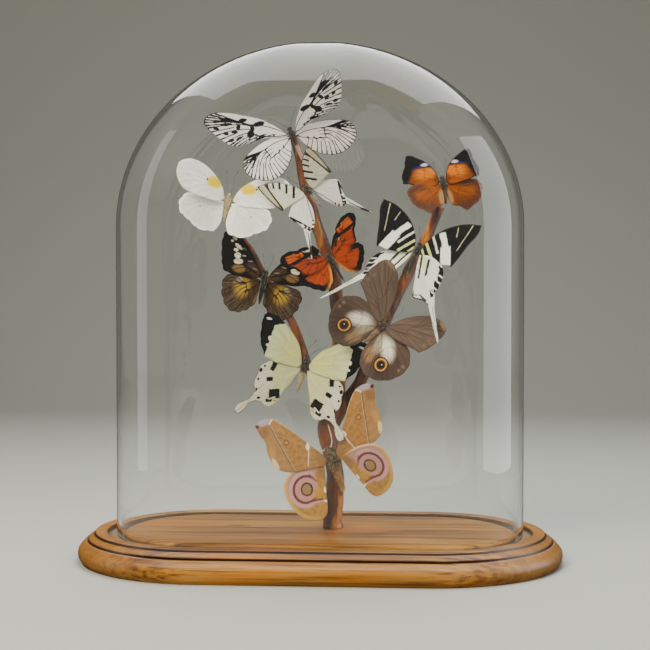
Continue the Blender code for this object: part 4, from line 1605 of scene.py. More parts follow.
    def build(self, material: bpy.types.Material, slot: str) -> bpy.types.Object:
        flat, faces, edge, vein = self.flat_mesh()
        height = self.relief(flat, edge, vein)
        thin = self.HALF_THICKNESS * np.clip(edge / self.THIN_EDGE, self.THINNEST, 1)
        count = len(flat)
        local = np.zeros((count * 2, 3))
        local[:count, :2] = flat
        local[count:, :2] = flat
        local[:count, 2] = height + thin
        local[count:, 2] = height - thin
        local[:, 0] *= self.side
        turn = np.array(self.stance.to_3x3())
        world = local @ turn.T * MM + np.array(self.offset())
        uses: dict[tuple[int, int], int] = {}
        for a, b, c in faces:
            for pair in ((a, b), (b, c), (c, a)):
                uses[pair] = uses.get(pair, 0) + 1
        rim = [pair for pair in uses if (pair[1], pair[0]) not in uses]
        solid = list(faces)
        solid += [tuple(i + count for i in reversed(f)) for f in faces]
        solid += [(b, a, a + count, b + count) for a, b in rim]
        obj = mesh_object(self.name + "_membrane", world, solid, material)
        if self.side is Side.LEFT:
            obj.data.flip_normals()
        self.write_coordinates(obj.data, np.vstack([flat, flat]), np.tile(edge, 2), np.tile(vein, 2))
        show(obj, self.name)
        return obj

    @staticmethod
    def write_coordinates(mesh: bpy.types.Mesh, flat: np.ndarray, edge: np.ndarray, vein: np.ndarray) -> None:
        """Store the wing's own plane as a UV map, and the distances to its edge and veins."""
        loops = np.zeros(len(mesh.loops), np.int32)
        mesh.loops.foreach_get("vertex_index", loops)
        layer = mesh.uv_layers.new(name="UVMap")
        layer.data.foreach_set("uv", (flat[loops] / WingPlane.MM_PER_UV).astype(np.float32).ravel())
        write_values(mesh, "edge", edge)
        write_values(mesh, "vein", vein)


def fur_material(name: str, kind: BodyKind, darker: float) -> bpy.types.Material:
    """Dry insect fur or skin: one colour on the thorax that changes to another along the abdomen.

    Args:
        name: the material's name.
        kind: the body, for its colours.
        darker: how dark the darkest patches are, from 0 to 1.

    Returns:
        The material, which needs the attributes "along", from head to tail, and "shade", hair by hair.
    """
    graph = Graph(name)
    along = graph.attribute("along")
    colour = graph.mix(along.ramp(0.42, 0.52), kind.thorax_colour, kind.abdomen_colour)
    colour = graph.mix(along.ramp(0.8, 0.98), colour, kind.tip_colour)
    rings = (along * ABDOMEN_RINGS).sine().ramp(0.2, 0.9) * along.ramp(0.45, 0.55)
    colour = graph.mix(rings * 0.35, colour, "#000000")
    patches = graph.noise(graph.object_place(), 420.0, 3.0).ramp(0.35, 0.7)
    colour = graph.mix(patches * darker, colour, "#000000")
    shade = graph.attribute("shade")
    colour = graph.mix(shade.ramp(0.5, 0.0) * 0.65, colour, INK)
    colour = graph.mix(shade.ramp(0.6, 1.0) * 0.7, colour, "#e0bc84")
    graph.set(Base_Color=colour, Roughness=0.85, Sheen_Weight=0.3)
    return graph.material


def plain_material(name: str, colour: str, roughness: float) -> bpy.types.Material:
    """A material of one colour with fine mottling."""
    graph = Graph(name)
    mottle = graph.noise(graph.object_place(), 1500.0, 2.0).ramp(0.3, 0.8)
    graph.set(Base_Color=graph.mix(mottle * 0.35, colour, "#000000"), Roughness=roughness)
    return graph.material


class Body:
    """Head, thorax and abdomen with fur, eyes, antennae and legs."""

    ROWS = 46
    SIDES = 20

    def __init__(self, species: Species, stance: Matrix, centre: Vector):
        self.species = species
        self.kind = species.body
        self.place = Matrix.Translation(centre) @ stance
        self.random = np.random.default_rng(len(species.name) * 7 + int(species.turn))
        self.slot = species.name + "_body"

    def radius_at(self, along: np.ndarray) -> np.ndarray:
        """Radius from the head at 0 to the tail at 1, in millimetres."""
        kind = self.kind
        total = 2 * kind.head_radius + kind.thorax_length + kind.abdomen_length
        head_end = 2 * kind.head_radius / total
        waist = (2 * kind.head_radius + kind.thorax_length) / total
        head = kind.head_radius * np.sqrt(np.clip(1 - ((along - head_end / 2) / (head_end / 2)) ** 2, 0, 1))
        middle = (head_end + waist) / 2 - head_end * 0.1
        half = (waist - head_end) / 2 * 1.15
        thorax = kind.thorax_radius * np.sqrt(np.clip(1 - ((along - middle) / half) ** 2, 0, 1))
        back = np.clip((along - waist * 0.93) / (1 - waist * 0.93), 0, 1)
        rings = 1 + 0.05 * np.sin(back * 9 * 2 * math.pi)
        swell = np.sin(np.clip(back * 0.93 + 0.07, 0, 1) ** 0.62 * math.pi) ** 0.6
        belly = kind.abdomen_radius * swell * rings
        return np.maximum(np.maximum(head, thorax), np.where(back > 0, belly, 0)) + 0.05

    def along_to_y(self, along: np.ndarray) -> np.ndarray:
        kind = self.kind
        total = 2 * kind.head_radius + kind.thorax_length + kind.abdomen_length
        return kind.thorax_length / 2 + 2 * kind.head_radius - along * total

    def build_skin(self) -> None:
        along = np.linspace(0, 1, self.ROWS)
        radii = self.radius_at(along)
        angles = np.arange(self.SIDES) * 2 * math.pi / self.SIDES
        points = []
        for a, radius, y in zip(along, radii, self.along_to_y(along)):
            for angle in angles:
                lump = 1 + 0.05 * math.sin(3 * angle + a * 23) + 0.04 * math.sin(5 * angle - a * 31)
                points.append((radius * lump * math.cos(angle), y, radius * lump * math.sin(angle)))
        points = np.array(points) * MM
        faces = ring_faces(self.ROWS, self.SIDES)
        world = points @ np.array(self.place.to_3x3()).T + np.array(self.place.translation)
        material = fur_material(self.species.name + " skin", self.kind, 0.45)
        obj = mesh_object(self.species.name + "_skin", world, faces, material)
        face_out(obj)
        write_values(obj.data, "along", np.repeat(along, self.SIDES))
        write_values(obj.data, "shade", np.full(self.ROWS * self.SIDES, 0.3))
        show(obj, self.species.name + "_body")

    def build_fur(self) -> None:
        """Hairs as thin three-sided spikes that lean to the tail."""
        kind = self.kind
        count = kind.fur_count
        total = 2 * kind.head_radius + kind.thorax_length + kind.abdomen_length
        waist = (2 * kind.head_radius + kind.thorax_length) / total
        along = np.where(
            self.random.random(count) < 0.72,
            self.random.uniform(0.03, waist * 1.05, count),
            self.random.uniform(waist, 0.99, count),
        )
        angle = self.random.uniform(0, 2 * math.pi, count)
        radius = self.radius_at(along)
        length = kind.fur_length * self.random.uniform(0.5, 1.1, count)
        length = np.where(along > waist * 1.05, length * 0.5, length)
        out = np.stack([np.cos(angle), np.zeros(count), np.sin(angle)], 1)
        root = out * (radius * 0.9)[:, None]
        root[:, 1] = self.along_to_y(along)
        lean = np.array([0, -1, 0]) * self.random.uniform(0.1, 1.2, count)[:, None]
        jitter = self.random.normal(0, 0.25, (count, 3))
        direction = out + lean + jitter
        direction /= np.linalg.norm(direction, axis=1)[:, None]
        tip = root + direction * length[:, None]
        across = np.cross(direction, self.random.normal(0, 1, (count, 3)))
        across /= np.linalg.norm(across, axis=1)[:, None]
        third = np.cross(direction, across)
        thick = 0.05 + 0.05 * kind.thorax_radius
        base = [root + thick * (across * math.cos(t) + third * math.sin(t)) for t in (0, 2.09, 4.19)]
        points = np.stack([*base, tip], 1).reshape(-1, 3) * MM
        world = points @ np.array(self.place.to_3x3()).T + np.array(self.place.translation)
        faces = []
        for i in range(count):
            a = i * 4
            faces += [(a, a + 1, a + 3), (a + 1, a + 2, a + 3), (a + 2, a, a + 3), (a + 2, a + 1, a)]
        material = fur_material(self.species.name + " fur", kind, 0.3)
        obj = mesh_object(self.species.name + "_fur", world, faces, material, smooth=False)
        face_out(obj)
        write_values(obj.data, "along", np.repeat(along, 4))
        write_values(obj.data, "shade", np.repeat(self.random.random(count), 4))
        show(obj)

    def strands(self, name: str, paths: Sequence[tuple], colour: str, sides: int = 6) -> None:
        """Thin round parts, such as legs and antennae, as one piece.

        Args:
            name: the end of the piece's name.
            paths: pairs of places in the insect's frame and radii, both in millimetres.
            colour: their colour.
            sides: how many sides each has.
        """
        points, faces = [], []
        for path, radii in paths:
            rings = tube_rings(np.array(path, float), np.array(radii, float), sides)
            faces += ring_faces(len(rings), sides, len(points))
            points += list(rings.reshape(-1, 3))
        local = np.array(points) * MM
        world = local @ np.array(self.place.to_3x3()).T + np.array(self.place.translation)
        material = plain_material(f"{self.species.name} {name}", colour, 0.5)
        obj = mesh_object(f"{self.species.name}_{name}", world, faces, material)
        face_out(obj)
        show(obj)

    def build_antennae(self) -> None:
        kind = self.species.antennae
        paths = []
        for side in (kind.right, kind.left):
            rise = 1.2
            places = [(x, y, 0.6 + rise * i) for i, (x, y) in enumerate(side)]
            path = curve_through(places, 8)
            share = np.linspace(0, 1, len(path))
            club = np.clip((share - 0.86) / 0.08, 0, 1) * (kind.club - kind.radius)
            radii = kind.radius * (1 - 0.25 * share) + club
            radii[-1] *= 0.4
            paths.append((path, radii))
        self.strands("antennae", paths, kind.colour)

    def build_legs(self) -> None:
        """Three pairs, folded under the thorax."""
        reach = self.kind.thorax_radius
        paths = []
        for side in (-1, 1):
            for y in (-0.22, 0.02, 0.26):
                at = y * self.kind.thorax_length
                places = [
                    (side * reach * 0.4, at, -reach * 0.5),
                    (side * (reach + 1.6), at + 1.0, -reach * 0.7),
                    (side * (reach + 1.2), at - 1.6, -reach - 1.0),
                ]
                path = curve_through(places, 6)
                paths.append((path, np.linspace(0.22, 0.09, len(path))))
        self.strands("legs", paths, "#2a2019")

    def build_eyes(self) -> None:
        kind = self.kind
        y = float(self.along_to_y(np.array([0.0]))[0]) - kind.head_radius * 0.9
        paths = []
        for side in (-1, 1):
            t = np.linspace(-1, 1, 9)
            size = kind.head_radius * 0.45
            centre = np.array([side * kind.head_radius * 0.75, y, kind.head_radius * 0.35])
            path = centre + np.outer(t * size, (0, 1, 0))
            paths.append((path, size * np.sqrt(np.clip(1 - t**2, 0.02, 1))))
        self.strands("eyes", paths, "#1a110d", 12)

    def build(self) -> None:
        self.build_skin()
        self.build_fur()
        self.build_antennae()
        self.build_legs()
        self.build_eyes()


class Insect:
    """A mounted insect, set in the place of its CAD nodes."""

    FACING = math.radians(4)

    def __init__(self, species: Species):
        self.species = species
        facing = Matrix.Rotation(self.FACING, 4, "Z") @ Matrix.Rotation(math.radians(90), 4, "X")
        turned = Matrix.Rotation(math.radians(species.turn), 4, "Z")
        rolled = Matrix.Rotation(math.radians(species.roll), 4, "Y")
        pitched = Matrix.Rotation(math.radians(species.pitch), 4, "X")
        self.stance = facing @ turned @ rolled @ pitched

    def build(self) -> None:
        name = self.species.name
        fore = self.species.fore.pattern.material(name + " forewing")
        hind = self.species.hind.pattern.material(name + " hindwing")
        centres = []
        for part, kind, side, material in (
            ("left_forewing", self.species.fore, Side.LEFT, fore),
            ("right_forewing", self.species.fore, Side.RIGHT, fore),
            ("left_hindwing", self.species.hind, Side.LEFT, hind),
            ("right_hindwing", self.species.hind, Side.RIGHT, hind),
        ):
            pose = getattr(self.species, part)
            wing = Wing(f"{name}_{part}", kind, pose, side, self.stance, self.species.turn + side)
            centres.append(wing.offset())
            wing.build(material, name + "_wings")
        centre = sum(centres, Vector()) / len(centres)
        Body(self.species, self.stance, centre).build()


# ---------------------------------------------------------------------------------------------------------
# Plinth, dome and branch
# ---------------------------------------------------------------------------------------------------------


def oval_loop(
    radius: float,
    height: float,
    end_steps: int,
    half_straight: float,
    straight_steps: int,
) -> list[tuple[float, float, float]]:
    """Corners of a level oval.

    Args:
        radius: of its round ends.
        height: of its plane.
        end_steps: how many edges each round end has.
        half_straight: half the length of each straight side.
        straight_steps: how many edges each straight side has.

    Returns:
        The corners, anticlockwise seen from above.
    """
    corners = []
    for end in (1, -1):
        for step in range(end_steps + 1):
            angle = math.pi * (step / end_steps - 0.5) + (0 if end == 1 else math.pi)
            corners.append((end * half_straight + radius * math.cos(angle), radius * math.sin(angle), height))
        for step in range(1, straight_steps):
            x = end * half_straight * (1 - 2 * step / straight_steps)
            corners.append((x, end * radius, height))
    return corners


def loft(name: str, loops: Sequence[Sequence], material: bpy.types.Material) -> bpy.types.Object:
    """A closed skin through loops of equal length, with both ends filled."""
    points = np.array([corner for loop in loops for corner in loop])
    obj = mesh_object(name, points, ring_faces(len(loops), len(loops[0])), material)
    face_out(obj)
    for face in obj.data.polygons:
        face.use_smooth = len(face.vertices) == 4
    return obj


KNOT_PLACE = (-62 * MM, 12 * MM)
KNOT_SIZE = (10 * MM, 3.5 * MM)
GRAIN_END_START, GRAIN_END = 100 * MM, 165 * MM


def wood_material() -> bpy.types.Material:
    """Oiled brown board wood: grain that calms at the plinth's round ends, a knot, and painted shade in the
    grooves.
    """
    graph = Graph("oiled wood")
    place = graph.object_place()
    x, y, z = graph.parts(place)
    drift = graph.noise(graph.vector("MULTIPLY", place, (5, 14, 14)), 1.0, 2.0)
    lines = graph.noise(graph.join(x * 7, y * 380 + drift * 5, z * 380), 1.0, 5.0)
    broad = graph.noise(graph.join(x * 4, y * 75 + drift * 2, z * 75), 1.0, 3.0)
    pores = graph.noise(graph.join(x * 60, y * 1500, z * 1500), 1.0, 2.0)
    grain = 1 - x.size().ramp(GRAIN_END_START, GRAIN_END) * 0.75
    colour = graph.mix(broad.ramp(0.3, 0.7) * grain + (1 - grain) * 0.5, "#7c4f24", "#b07e42")
    colour = graph.mix(lines.ramp(0.46, 0.66) * grain * 0.85, colour, "#4e2b0e")
    colour = graph.mix(lines.ramp(0.42, 0.25) * 0.4, colour, "#d6a262")
    colour = graph.mix(pores.ramp(0.58, 0.72) * grain * 0.5, colour, "#43230f")
    patch = graph.noise(graph.join(x * 7 + 3.1, y * 18, z * 30), 1.0, 2.0)
    colour = graph.mix(patch.ramp(0.56, 0.70) * 0.55, colour, "#b06a24")
    knot = graph.length(graph.into(place, KNOT_PLACE, 0.0, KNOT_SIZE))
    colour = graph.mix(knot.ramp(1.25, 0.5) * 0.75, colour, "#4a2610")
    # Painted shade: a near-black brown laid into the grooves, the undercut step and the channel walls, where
    # the moulding shades itself.
    colour = graph.mix(graph.attribute("groove_shade").ramp(0.1, 0.8) * 0.95, colour, "#1e0e05")
    channel = graph.attribute("channel")
    colour = graph.mix(channel * 0.65, colour, "#6e6250")
    graph.set(
        Base_Color=colour,
        Roughness=0.34 + lines * 0.16 + channel * 0.2,
        Coat_Weight=0.18,
        Coat_Roughness=0.3,
        Normal=graph.bump(lines * 0.5 + pores * 0.5, 0.35, 0.25 * MM),
    )
    return graph.material


@dataclass(frozen=True)
class Plinth:
    """The moulded oval board. Sizes are metres; the profile is listed from the underside to the panel."""

    top: float
    edge: float
    half_straight: float
    channel_outer: float = 78.4 * MM
    channel_inner: float = 65.5 * MM
    channel_depth: float = 4.0 * MM
    nose_radius: float = 5.2 * MM
    nose_height: float = 6.6 * MM
    nose_rise: float = 6.4 * MM
    nose_steps: int = 12
    end_steps: int = 56
    straight_steps: int = 36

    def profile(self) -> list[tuple[float, float, float, float]]:
        """Radius, height, how much painted shade each place gets for lying in a groove, and how far it is in
        the channel.
        """
        e, t = self.edge, self.top
        floor = t - self.channel_depth
        outer, panel = self.channel_outer, self.channel_inner
        nose = []
        for k in range(1, self.nose_steps + 1):
            angle = math.radians(-62 + k * 132 / self.nose_steps)
            reach = e - self.nose_radius * (1 - math.cos(angle))
            nose.append((reach, self.nose_height + self.nose_rise * math.sin(angle), 0, 0))
        return [
            (e - 2.6 * MM, 0.0, 0, 0),
            *nose,
            (e - 4.8 * MM, 14.9 * MM, 0, 0),
            (e - 6.4 * MM, 15.7 * MM, 0.1, 0),
            (e - 7.2 * MM, 15.6 * MM, 0.7, 0),
            (e - 7.6 * MM, 15.0 * MM, 1, 0),
            (e - 7.8 * MM, 15.6 * MM, 1, 0),
            (e - 7.8 * MM, 16.8 * MM, 0.7, 0),
            (e - 8.1 * MM, 17.5 * MM, 0.1, 0),
            (e - 9.4 * MM, 18.2 * MM, 0, 0),
            (e - 11.0 * MM, 19.3 * MM, 0, 0),
            (e - 11.8 * MM, 19.9 * MM, 0.2, 0),
            (e - 12.2 * MM, 20.3 * MM, 0.9, 0),
            (e - 12.7 * MM, t - 0.8 * MM, 0.8, 0),
            (e - 13.2 * MM, t - 0.15 * MM, 0.1, 0),
            (e - 14.0 * MM, t, 0, 0),
            (e - 17.0 * MM, t, 0, 0),
            (outer + 0.8 * MM, t, 0, 0),
            (outer + 0.2 * MM, t - 0.3 * MM, 0.1, 0),
            (outer, t - 0.9 * MM, 0.5, 0),
            (outer, floor + 0.3 * MM, 1, 0.6),
            (outer - 0.4 * MM, floor, 0.6, 1),
            (outer - 6.0 * MM, floor, 0, 1),
            (panel + 0.4 * MM, floor, 0.6, 1),
            (panel, floor + 0.3 * MM, 1, 0.6),
            (panel - 0.2 * MM, t - 2.2 * MM, 0.3, 0),
            (panel - 0.7 * MM, t - 1.3 * MM, 0, 0),
            (panel - 1.8 * MM, t - 0.55 * MM, 0, 0),
            (panel - 3.2 * MM, t - 0.12 * MM, 0, 0),
            (panel - 4.8 * MM, t, 0, 0),
            (panel * 0.6, t, 0, 0),
            (panel * 0.25, t, 0, 0),
        ]

    def build(self) -> bpy.types.Object:
        profile = self.profile()
        loops = [
            oval_loop(radius, height, self.end_steps, self.half_straight, self.straight_steps)
            for radius, height, _, _ in profile
        ]
        obj = loft("plinth_board", loops, wood_material())
        per_loop = len(loops[0])
        # The third column goes out as the painted shade of the grooves, and the fourth as the channel.
        for name, column in (("groove_shade", 2), ("channel", 3)):
            write_values(obj.data, name, np.repeat(np.array([row[column] for row in profile]), per_loop))
        show(obj, "wooden_base")
        return obj


GLASS_TINT = (0.985, 0.995, 0.985, 1)
GLASS_SHADOW = (0.96, 0.97, 0.96, 1)
GLASS_IOR = 1.47


def glass_material() -> bpy.types.Material:
    """Clear glass that lets light fall on what is under it."""
    graph = Graph("clear glass")
    graph.set(Base_Color=GLASS_TINT, Roughness=0.0, IOR=GLASS_IOR, Transmission_Weight=1.0)
    clear = graph.node("ShaderNodeBsdfTransparent")
    clear.inputs["Color"].default_value = GLASS_SHADOW
    path = graph.node("ShaderNodeLightPath")
    choose = graph.node("ShaderNodeMixShader")
    graph.tree.links.new(path.outputs["Is Shadow Ray"], choose.inputs["Fac"])
    graph.tree.links.new(graph.shader.outputs["BSDF"], choose.inputs[1])
    graph.tree.links.new(clear.outputs["BSDF"], choose.inputs[2])
    graph.tree.links.new(choose.outputs["Shader"], graph.out.inputs["Surface"])
    return graph.material


@dataclass(frozen=True)
class Dome:
    """The oval glass bell: an elliptical arch from the front and a narrower one from the side."""

    foot: float
    top: float
    radius: float
    half_straight: float
    wall: float = 3.0 * MM
    rim_height: float = 1.5 * MM
    rim_steps: int = 8
    arch_height: float = 135.0 * MM
    side_arch_height: float = 74.0 * MM
    end_steps: int = 40
    straight_steps: int = 16
    wall_rows: int = 14
    arch_rows: int = 40

    def loops(self, inset: float) -> list:
        """Level ovals of the wall from the foot to the crown, at a distance inside the outer face."""
        radius = self.radius - inset
        half_width = self.half_straight + radius
        arch = self.arch_height - inset
        side_arch = self.side_arch_height - inset
        spring = self.top - self.arch_height
        side_spring = self.top - self.side_arch_height
        loops = []
        low = self.foot + 2.4 * MM
        heights = [self.foot, self.foot + self.rim_height, self.foot + 1.9 * MM]
        heights += [low + (spring - low) * (row / self.wall_rows) ** 2 for row in range(self.wall_rows)]
        for height in heights:
            loops.append(oval_loop(radius, height, self.end_steps, self.half_straight, self.straight_steps))
        for row in range(self.arch_rows):
            angle = math.radians(89.3) * math.sin(math.pi / 2 * row / (self.arch_rows - 1))
            height = spring + arch * math.sin(angle)
            across = half_width * math.cos(angle)
            rise = min(1.0, max(0.0, (height - side_spring) / side_arch))
            deep = radius * math.sqrt(max(0.0, 1 - rise * rise))
            deep = min(deep, across * 0.98)
            loops.append(oval_loop(deep, height, self.end_steps, across - deep, self.straight_steps))
        return loops

    def build(self) -> bpy.types.Object:
        outer = self.loops(0.0)
        inner = self.loops(self.wall)
        count = len(outer[0])
        rim = []
        for step in range(1, self.rim_steps):
            angle = math.pi * step / self.rim_steps
            radius = self.radius - self.wall * (0.5 - 0.5 * math.cos(angle))
            height = self.foot + self.rim_height * (1 - math.sin(angle))
            rim.append(oval_loop(radius, height, self.end_steps, self.half_straight, self.straight_steps))
        rows = list(reversed(outer[1:])) + rim + inner[1:]
        points = np.array([corner for loop in rows for corner in loop])
        obj = mesh_object("glass_bell", points, ring_faces(len(rows), count), glass_material())
        face_out(obj)
        show(obj, "glass_dome")
        return obj


def branch_material() -> bpy.types.Material:
    """Bare, handled branch wood: glossy red-brown with worn orange-tan patches."""
    graph = Graph("bare branch")
    place = graph.object_place()
    fine = graph.noise(graph.vector("MULTIPLY", place, (900, 900, 110)), 1.0, 4.0)
    broad = graph.noise(graph.vector("MULTIPLY", place, (70, 70, 26)), 1.0, 3.0, 0.6)
    worn = graph.noise(graph.vector("MULTIPLY", place, (110, 110, 20)), 1.0, 4.0, 0.4)
    colour = graph.mix(broad.ramp(0.35, 0.65), "#4a2412", "#8c4e2a")
    colour = graph.mix(worn.ramp(0.52, 0.64) * 0.9, colour, "#c8803e")
    colour = graph.mix(fine.ramp(0.5, 0.7) * 0.5, colour, "#2a0f08")
    graph.set(
        Base_Color=colour,
        Roughness=0.3 + fine * 0.3,
        Coat_Weight=0.2,
        Coat_Roughness=0.35,
        Normal=graph.bump(fine * 0.6 + worn * 0.6, 0.6, 0.6 * MM),
    )
    return graph.material


@dataclass(frozen=True)
class Limb:
    """One limb of the branch, in millimetres.

    `path` is places and the radii there. `waves` are swellings: how far, how fast along the limb, and how
    many times round it with a starting angle.
    """

    piece: str
    node: str
    path: tuple
    sides: int = 40
    steps: int = 16
    waves: tuple = ((0.05, 0.11, 2, 0.0), (0.035, 0.31, -3, 1.0), (0.02, 0.9, 7, 0.0))
    knot_count: int = 6
    knot_rise: float = 0.16
    knot_length: float = 4.5

    def build(self, material: bpy.types.Material) -> None:
        rows = curve_through([(*place, radius) for place, radius in self.path], self.steps)
        centre, radii = rows[:, :3], rows[:, 3]
        rings = tube_rings(centre, np.ones(len(rows)), self.sides)
        out = rings - centre[:, None, :]
        travel = np.concatenate([[0], np.cumsum(np.linalg.norm(np.diff(centre, axis=0), axis=1))])
        angles = np.arange(self.sides) * 2 * math.pi / self.sides
        lump = np.ones((len(rows), self.sides))
        for size, speed, times, start in self.waves:
            lump += size * np.sin(travel[:, None] * speed + times * angles[None, :] + start)
        for k in range(self.knot_count):
            at = travel[-1] * (0.1 + 0.155 * k)
            facing = np.clip(np.cos(angles[None, :] - 1.3 - 2.1 * k), 0, 1)
            lump += self.knot_rise * np.exp(-(((travel[:, None] - at) / self.knot_length) ** 2)) * facing**2
        sized = out * (radii[:, None] * lump)[:, :, None]
        points = (centre[:, None, :] + sized).reshape(-1, 3) * MM
        obj = mesh_object(self.piece, points, ring_faces(len(rows), self.sides), material)
        face_out(obj)
        show(obj, self.node)


LIMBS = (
    Limb(
        "trunk_wood",
        "branch_trunk",
        (
            ((9.5, 7.0, 22.1), 7.6),
            ((9.5, 7.0, 27.0), 7.0),
            ((11.6, 5.5, 62.4), 6.6),
            ((6.5, 5.0, 95.2), 7.2),
            ((13.0, 5.0, 122.0), 6.4),
            ((15.4, 3.0, 162.4), 5.6),
            ((13.0, 0.5, 191.3), 5.2),
            ((9.7, -1.2, 215.7), 4.9),
            ((0.5, -0.5, 240.9), 4.6),
            ((-9.4, 2.0, 272.1), 4.1),
            ((-14.8, 3.5, 297.0), 3.5),
            ((-19.1, 3.0, 313.0), 2.7),
        ),
    ),
    Limb(
        "right_fork_wood",
        "branch_right_fork",
        (
            ((10.0, 5.0, 98.0), 4.0),
            ((16.5, 4.4, 111.0), 4.9),
            ((31.0, 0.5, 132.7), 4.7),
            ((46.8, -9.5, 170.1), 4.3),
            ((56.3, -7.5, 192.1), 4.2),
            ((70.9, -2.2, 221.5), 3.9),
            ((81.8, -3.0, 243.4), 3.6),
            ((89.0, -3.4, 260.5), 3.2),
        ),
    ),
    Limb(
        "left_fork_wood",
        "branch_left_fork",
        (
            ((6.0, 5.2, 94.0), 3.4),
            ((2.0, 5.6, 108.0), 4.2),
            ((-1.2, 6.0, 123.4), 3.9),
            ((-10.0, 8.5, 145.8), 3.4),
            ((-21.3, 11.5, 175.6), 3.1),
            ((-39.5, 8.5, 206.2), 2.7),
            ((-51.1, 3.0, 229.1), 2.5),
            ((-58.1, -0.5, 240.1), 2.3),
            ((-65.0, -4.0, 262.5), 1.9),
        ),
    ),
)


# ---------------------------------------------------------------------------------------------------------
# Stage
# ---------------------------------------------------------------------------------------------------------


@dataclass(frozen=True)
class Card:
    """A flat glowing card that only reflections see: its centre, the point it faces, size and brightness."""

    name: str
    centre: tuple[float, float, float]
    aim: tuple[float, float, float]
    width: float
    height: float
    brightness: float

    def build(self) -> None:
        towards = Vector(self.aim) - Vector(self.centre)
        turn = towards.to_track_quat("Z", "Y").to_matrix()
        half = (self.width / 2, self.height / 2)
        signs = ((-1, -1), (1, -1), (1, 1), (-1, 1))
        points = [turn @ Vector((x * half[0], y * half[1], 0)) + Vector(self.centre) for x, y in signs]
        graph = Graph(self.name)
        glow = graph.node("ShaderNodeEmission")
        glow.inputs["Strength"].default_value = self.brightness
        graph.tree.links.new(glow.outputs[0], graph.out.inputs["Surface"])
        card = mesh_object(self.name, np.array(points), [(0, 1, 2, 3)], graph.material, smooth=False)
        card.visible_camera = False
        card.visible_shadow = False
        card.visible_diffuse = False
        card.visible_transmission = False


@dataclass(frozen=True)
class Lamp:
    """A soft square lamp: its place, the point it faces, its side and its power in watts."""

    name: str
    centre: tuple[float, float, float]
    aim: tuple[float, float, float]
    side: float
    power: float
    colour: str = "#ffffff"

    def build(self) -> None:
        data = bpy.data.lights.new(self.name, "AREA")
        data.size = self.side
        data.energy = self.power
        data.color = linear(self.colour)[:3]
        lamp = bpy.data.objects.new(self.name, data)
        turn = (Vector(self.aim) - Vector(self.centre)).to_track_quat("-Z", "Y").to_matrix()
        lamp.matrix_world = Matrix.Translation(self.centre) @ turn.to_4x4()
        lamp.visible_camera = False
        lamp.visible_glossy = False
        lamp.visible_transmission = False
        bpy.context.scene.collection.objects.link(lamp)


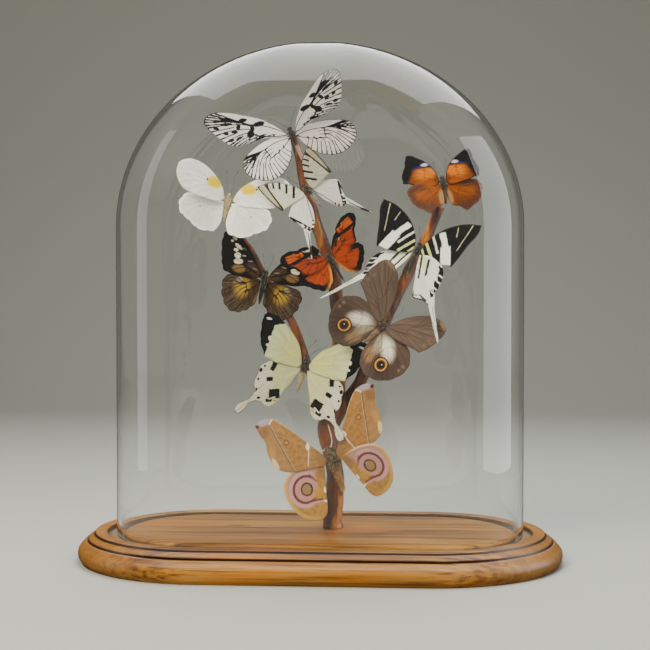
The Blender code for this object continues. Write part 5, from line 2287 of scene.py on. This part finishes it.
class Studio:
    """A pale floor that curves up to a backdrop, soft lamps, cards for the glass to reflect, and a camera."""

    FLOOR_FRONT = -1.7
    FLOOR_BACK = 1.2
    FLOOR_HALF_WIDTH = 2.0
    SWEEP_RADIUS = 0.9
    SWEEP_STEPS = 24
    SWEEP_TOP = 4.0
    FLOOR_COLOUR = (0.36, 0.37, 0.33, 1)
    ROOM_COLOUR = (0.86, 0.90, 0.86, 1)
    ROOM_GLOW = 0.07
    ROOM_SEEN = 0.34
    CAMERA_PLACE = (0.075, -0.9972, 0.198)
    CAMERA_TILT = 88.6
    CAMERA_TURN = 4.05
    CAMERA_LENS = 74.8

    LAMPS = (
        Lamp("key lamp", (-0.7, -1.1, 1.15), (0.0, 0.0, 0.18), 0.7, 44.0, "#fff6ea"),
        Lamp("fill lamp", (0.9, -1.2, 0.5), (0.0, 0.0, 0.2), 0.9, 15.0),
        Lamp("top lamp", (0.1, 0.25, 1.3), (0.0, 0.0, 0.1), 0.7, 20.0),
    )
    CARDS = (
        Card("top card", (0.0, 0.25, 1.15), (0.0, 0.0, 0.35), 1.5, 1.5, 4.8),
        Card("right card", (0.66, -0.015, 0.34), (0.0, -0.015, 0.34), 0.49, 0.68, 4.0),
        Card("left card", (-0.66, -0.12, 0.34), (0.0, 0.0, 0.34), 0.16, 0.68, 2.6),
    )

    def build(self) -> None:
        self.floor()
        for lamp in self.LAMPS:
            lamp.build()
        for card in self.CARDS:
            card.build()
        self.world()
        self.camera()

    def floor(self) -> None:
        """A swept sheet: level under the dome and upright behind it."""
        back, bend, half = self.FLOOR_BACK, self.SWEEP_RADIUS, self.FLOOR_HALF_WIDTH
        rows = [(self.FLOOR_FRONT, 0.0), (back, 0.0)]
        for k in range(1, self.SWEEP_STEPS + 1):
            angle = math.pi / 2 * k / self.SWEEP_STEPS
            rows.append((back + bend * math.sin(angle), bend - bend * math.cos(angle)))
        rows.append((back + bend, self.SWEEP_TOP))
        points = [(x, y, z) for y, z in rows for x in (-half, half)]
        faces = [(2 * i, 2 * i + 1, 2 * i + 3, 2 * i + 2) for i in range(len(rows) - 1)]
        graph = Graph("pale sweep")
        graph.set(Base_Color=self.FLOOR_COLOUR, Roughness=0.7)
        sweep = mesh_object("floor_sweep", np.array(points), faces, graph.material)
        sweep.visible_glossy = False

    def world(self) -> None:
        """An even pale room that is brighter to look at than the light it casts and than its reflections."""
        world = bpy.data.worlds.new("soft room")
        world.use_nodes = True
        tree = world.node_tree
        back = tree.nodes["Background"]
        back.inputs["Color"].default_value = self.ROOM_COLOUR
        path = tree.nodes.new("ShaderNodeLightPath")
        seen = tree.nodes.new("ShaderNodeMath")
        seen.operation = "MAXIMUM"
        tree.links.new(path.outputs["Is Camera Ray"], seen.inputs[0])
        tree.links.new(path.outputs["Is Transmission Ray"], seen.inputs[1])
        strength = tree.nodes.new("ShaderNodeMapRange")
        strength.inputs["To Min"].default_value = self.ROOM_GLOW
        strength.inputs["To Max"].default_value = self.ROOM_SEEN
        tree.links.new(seen.outputs[0], strength.inputs["Value"])
        tree.links.new(strength.outputs["Result"], back.inputs["Strength"])
        bpy.context.scene.world = world

    def camera(self) -> None:
        data = bpy.data.cameras.new("camera")
        data.sensor_width = 36.0
        data.lens = self.CAMERA_LENS
        camera = bpy.data.objects.new("camera", data)
        camera.location = self.CAMERA_PLACE
        camera.rotation_euler = (math.radians(self.CAMERA_TILT), 0.0, math.radians(self.CAMERA_TURN))
        bpy.context.scene.collection.objects.link(camera)
        bpy.context.scene.camera = camera


def build_plinth_and_dome() -> None:
    """Size the plinth and the dome from the boxes of their CAD nodes."""
    low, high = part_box("wooden_base")
    edge = high.y
    half_straight = high.x - edge
    Plinth(high.z, edge, half_straight).build()
    low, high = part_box("glass_dome")
    Dome(low.z, high.z, high.y, high.x - high.y).build()


def main() -> None:
    """Build every visible piece and the studio."""
    logging.basicConfig(level=logging.INFO, format="%(message)s")
    LOG.info("plinth and dome")
    build_plinth_and_dome()
    LOG.info("branch")
    bark = branch_material()
    for limb in LIMBS:
        limb.build(bark)
    for species in SPECIES:
        LOG.info("%s", species.name)
        Insect(species).build()
    Studio().build()


if __name__ == "__main__":
    main()
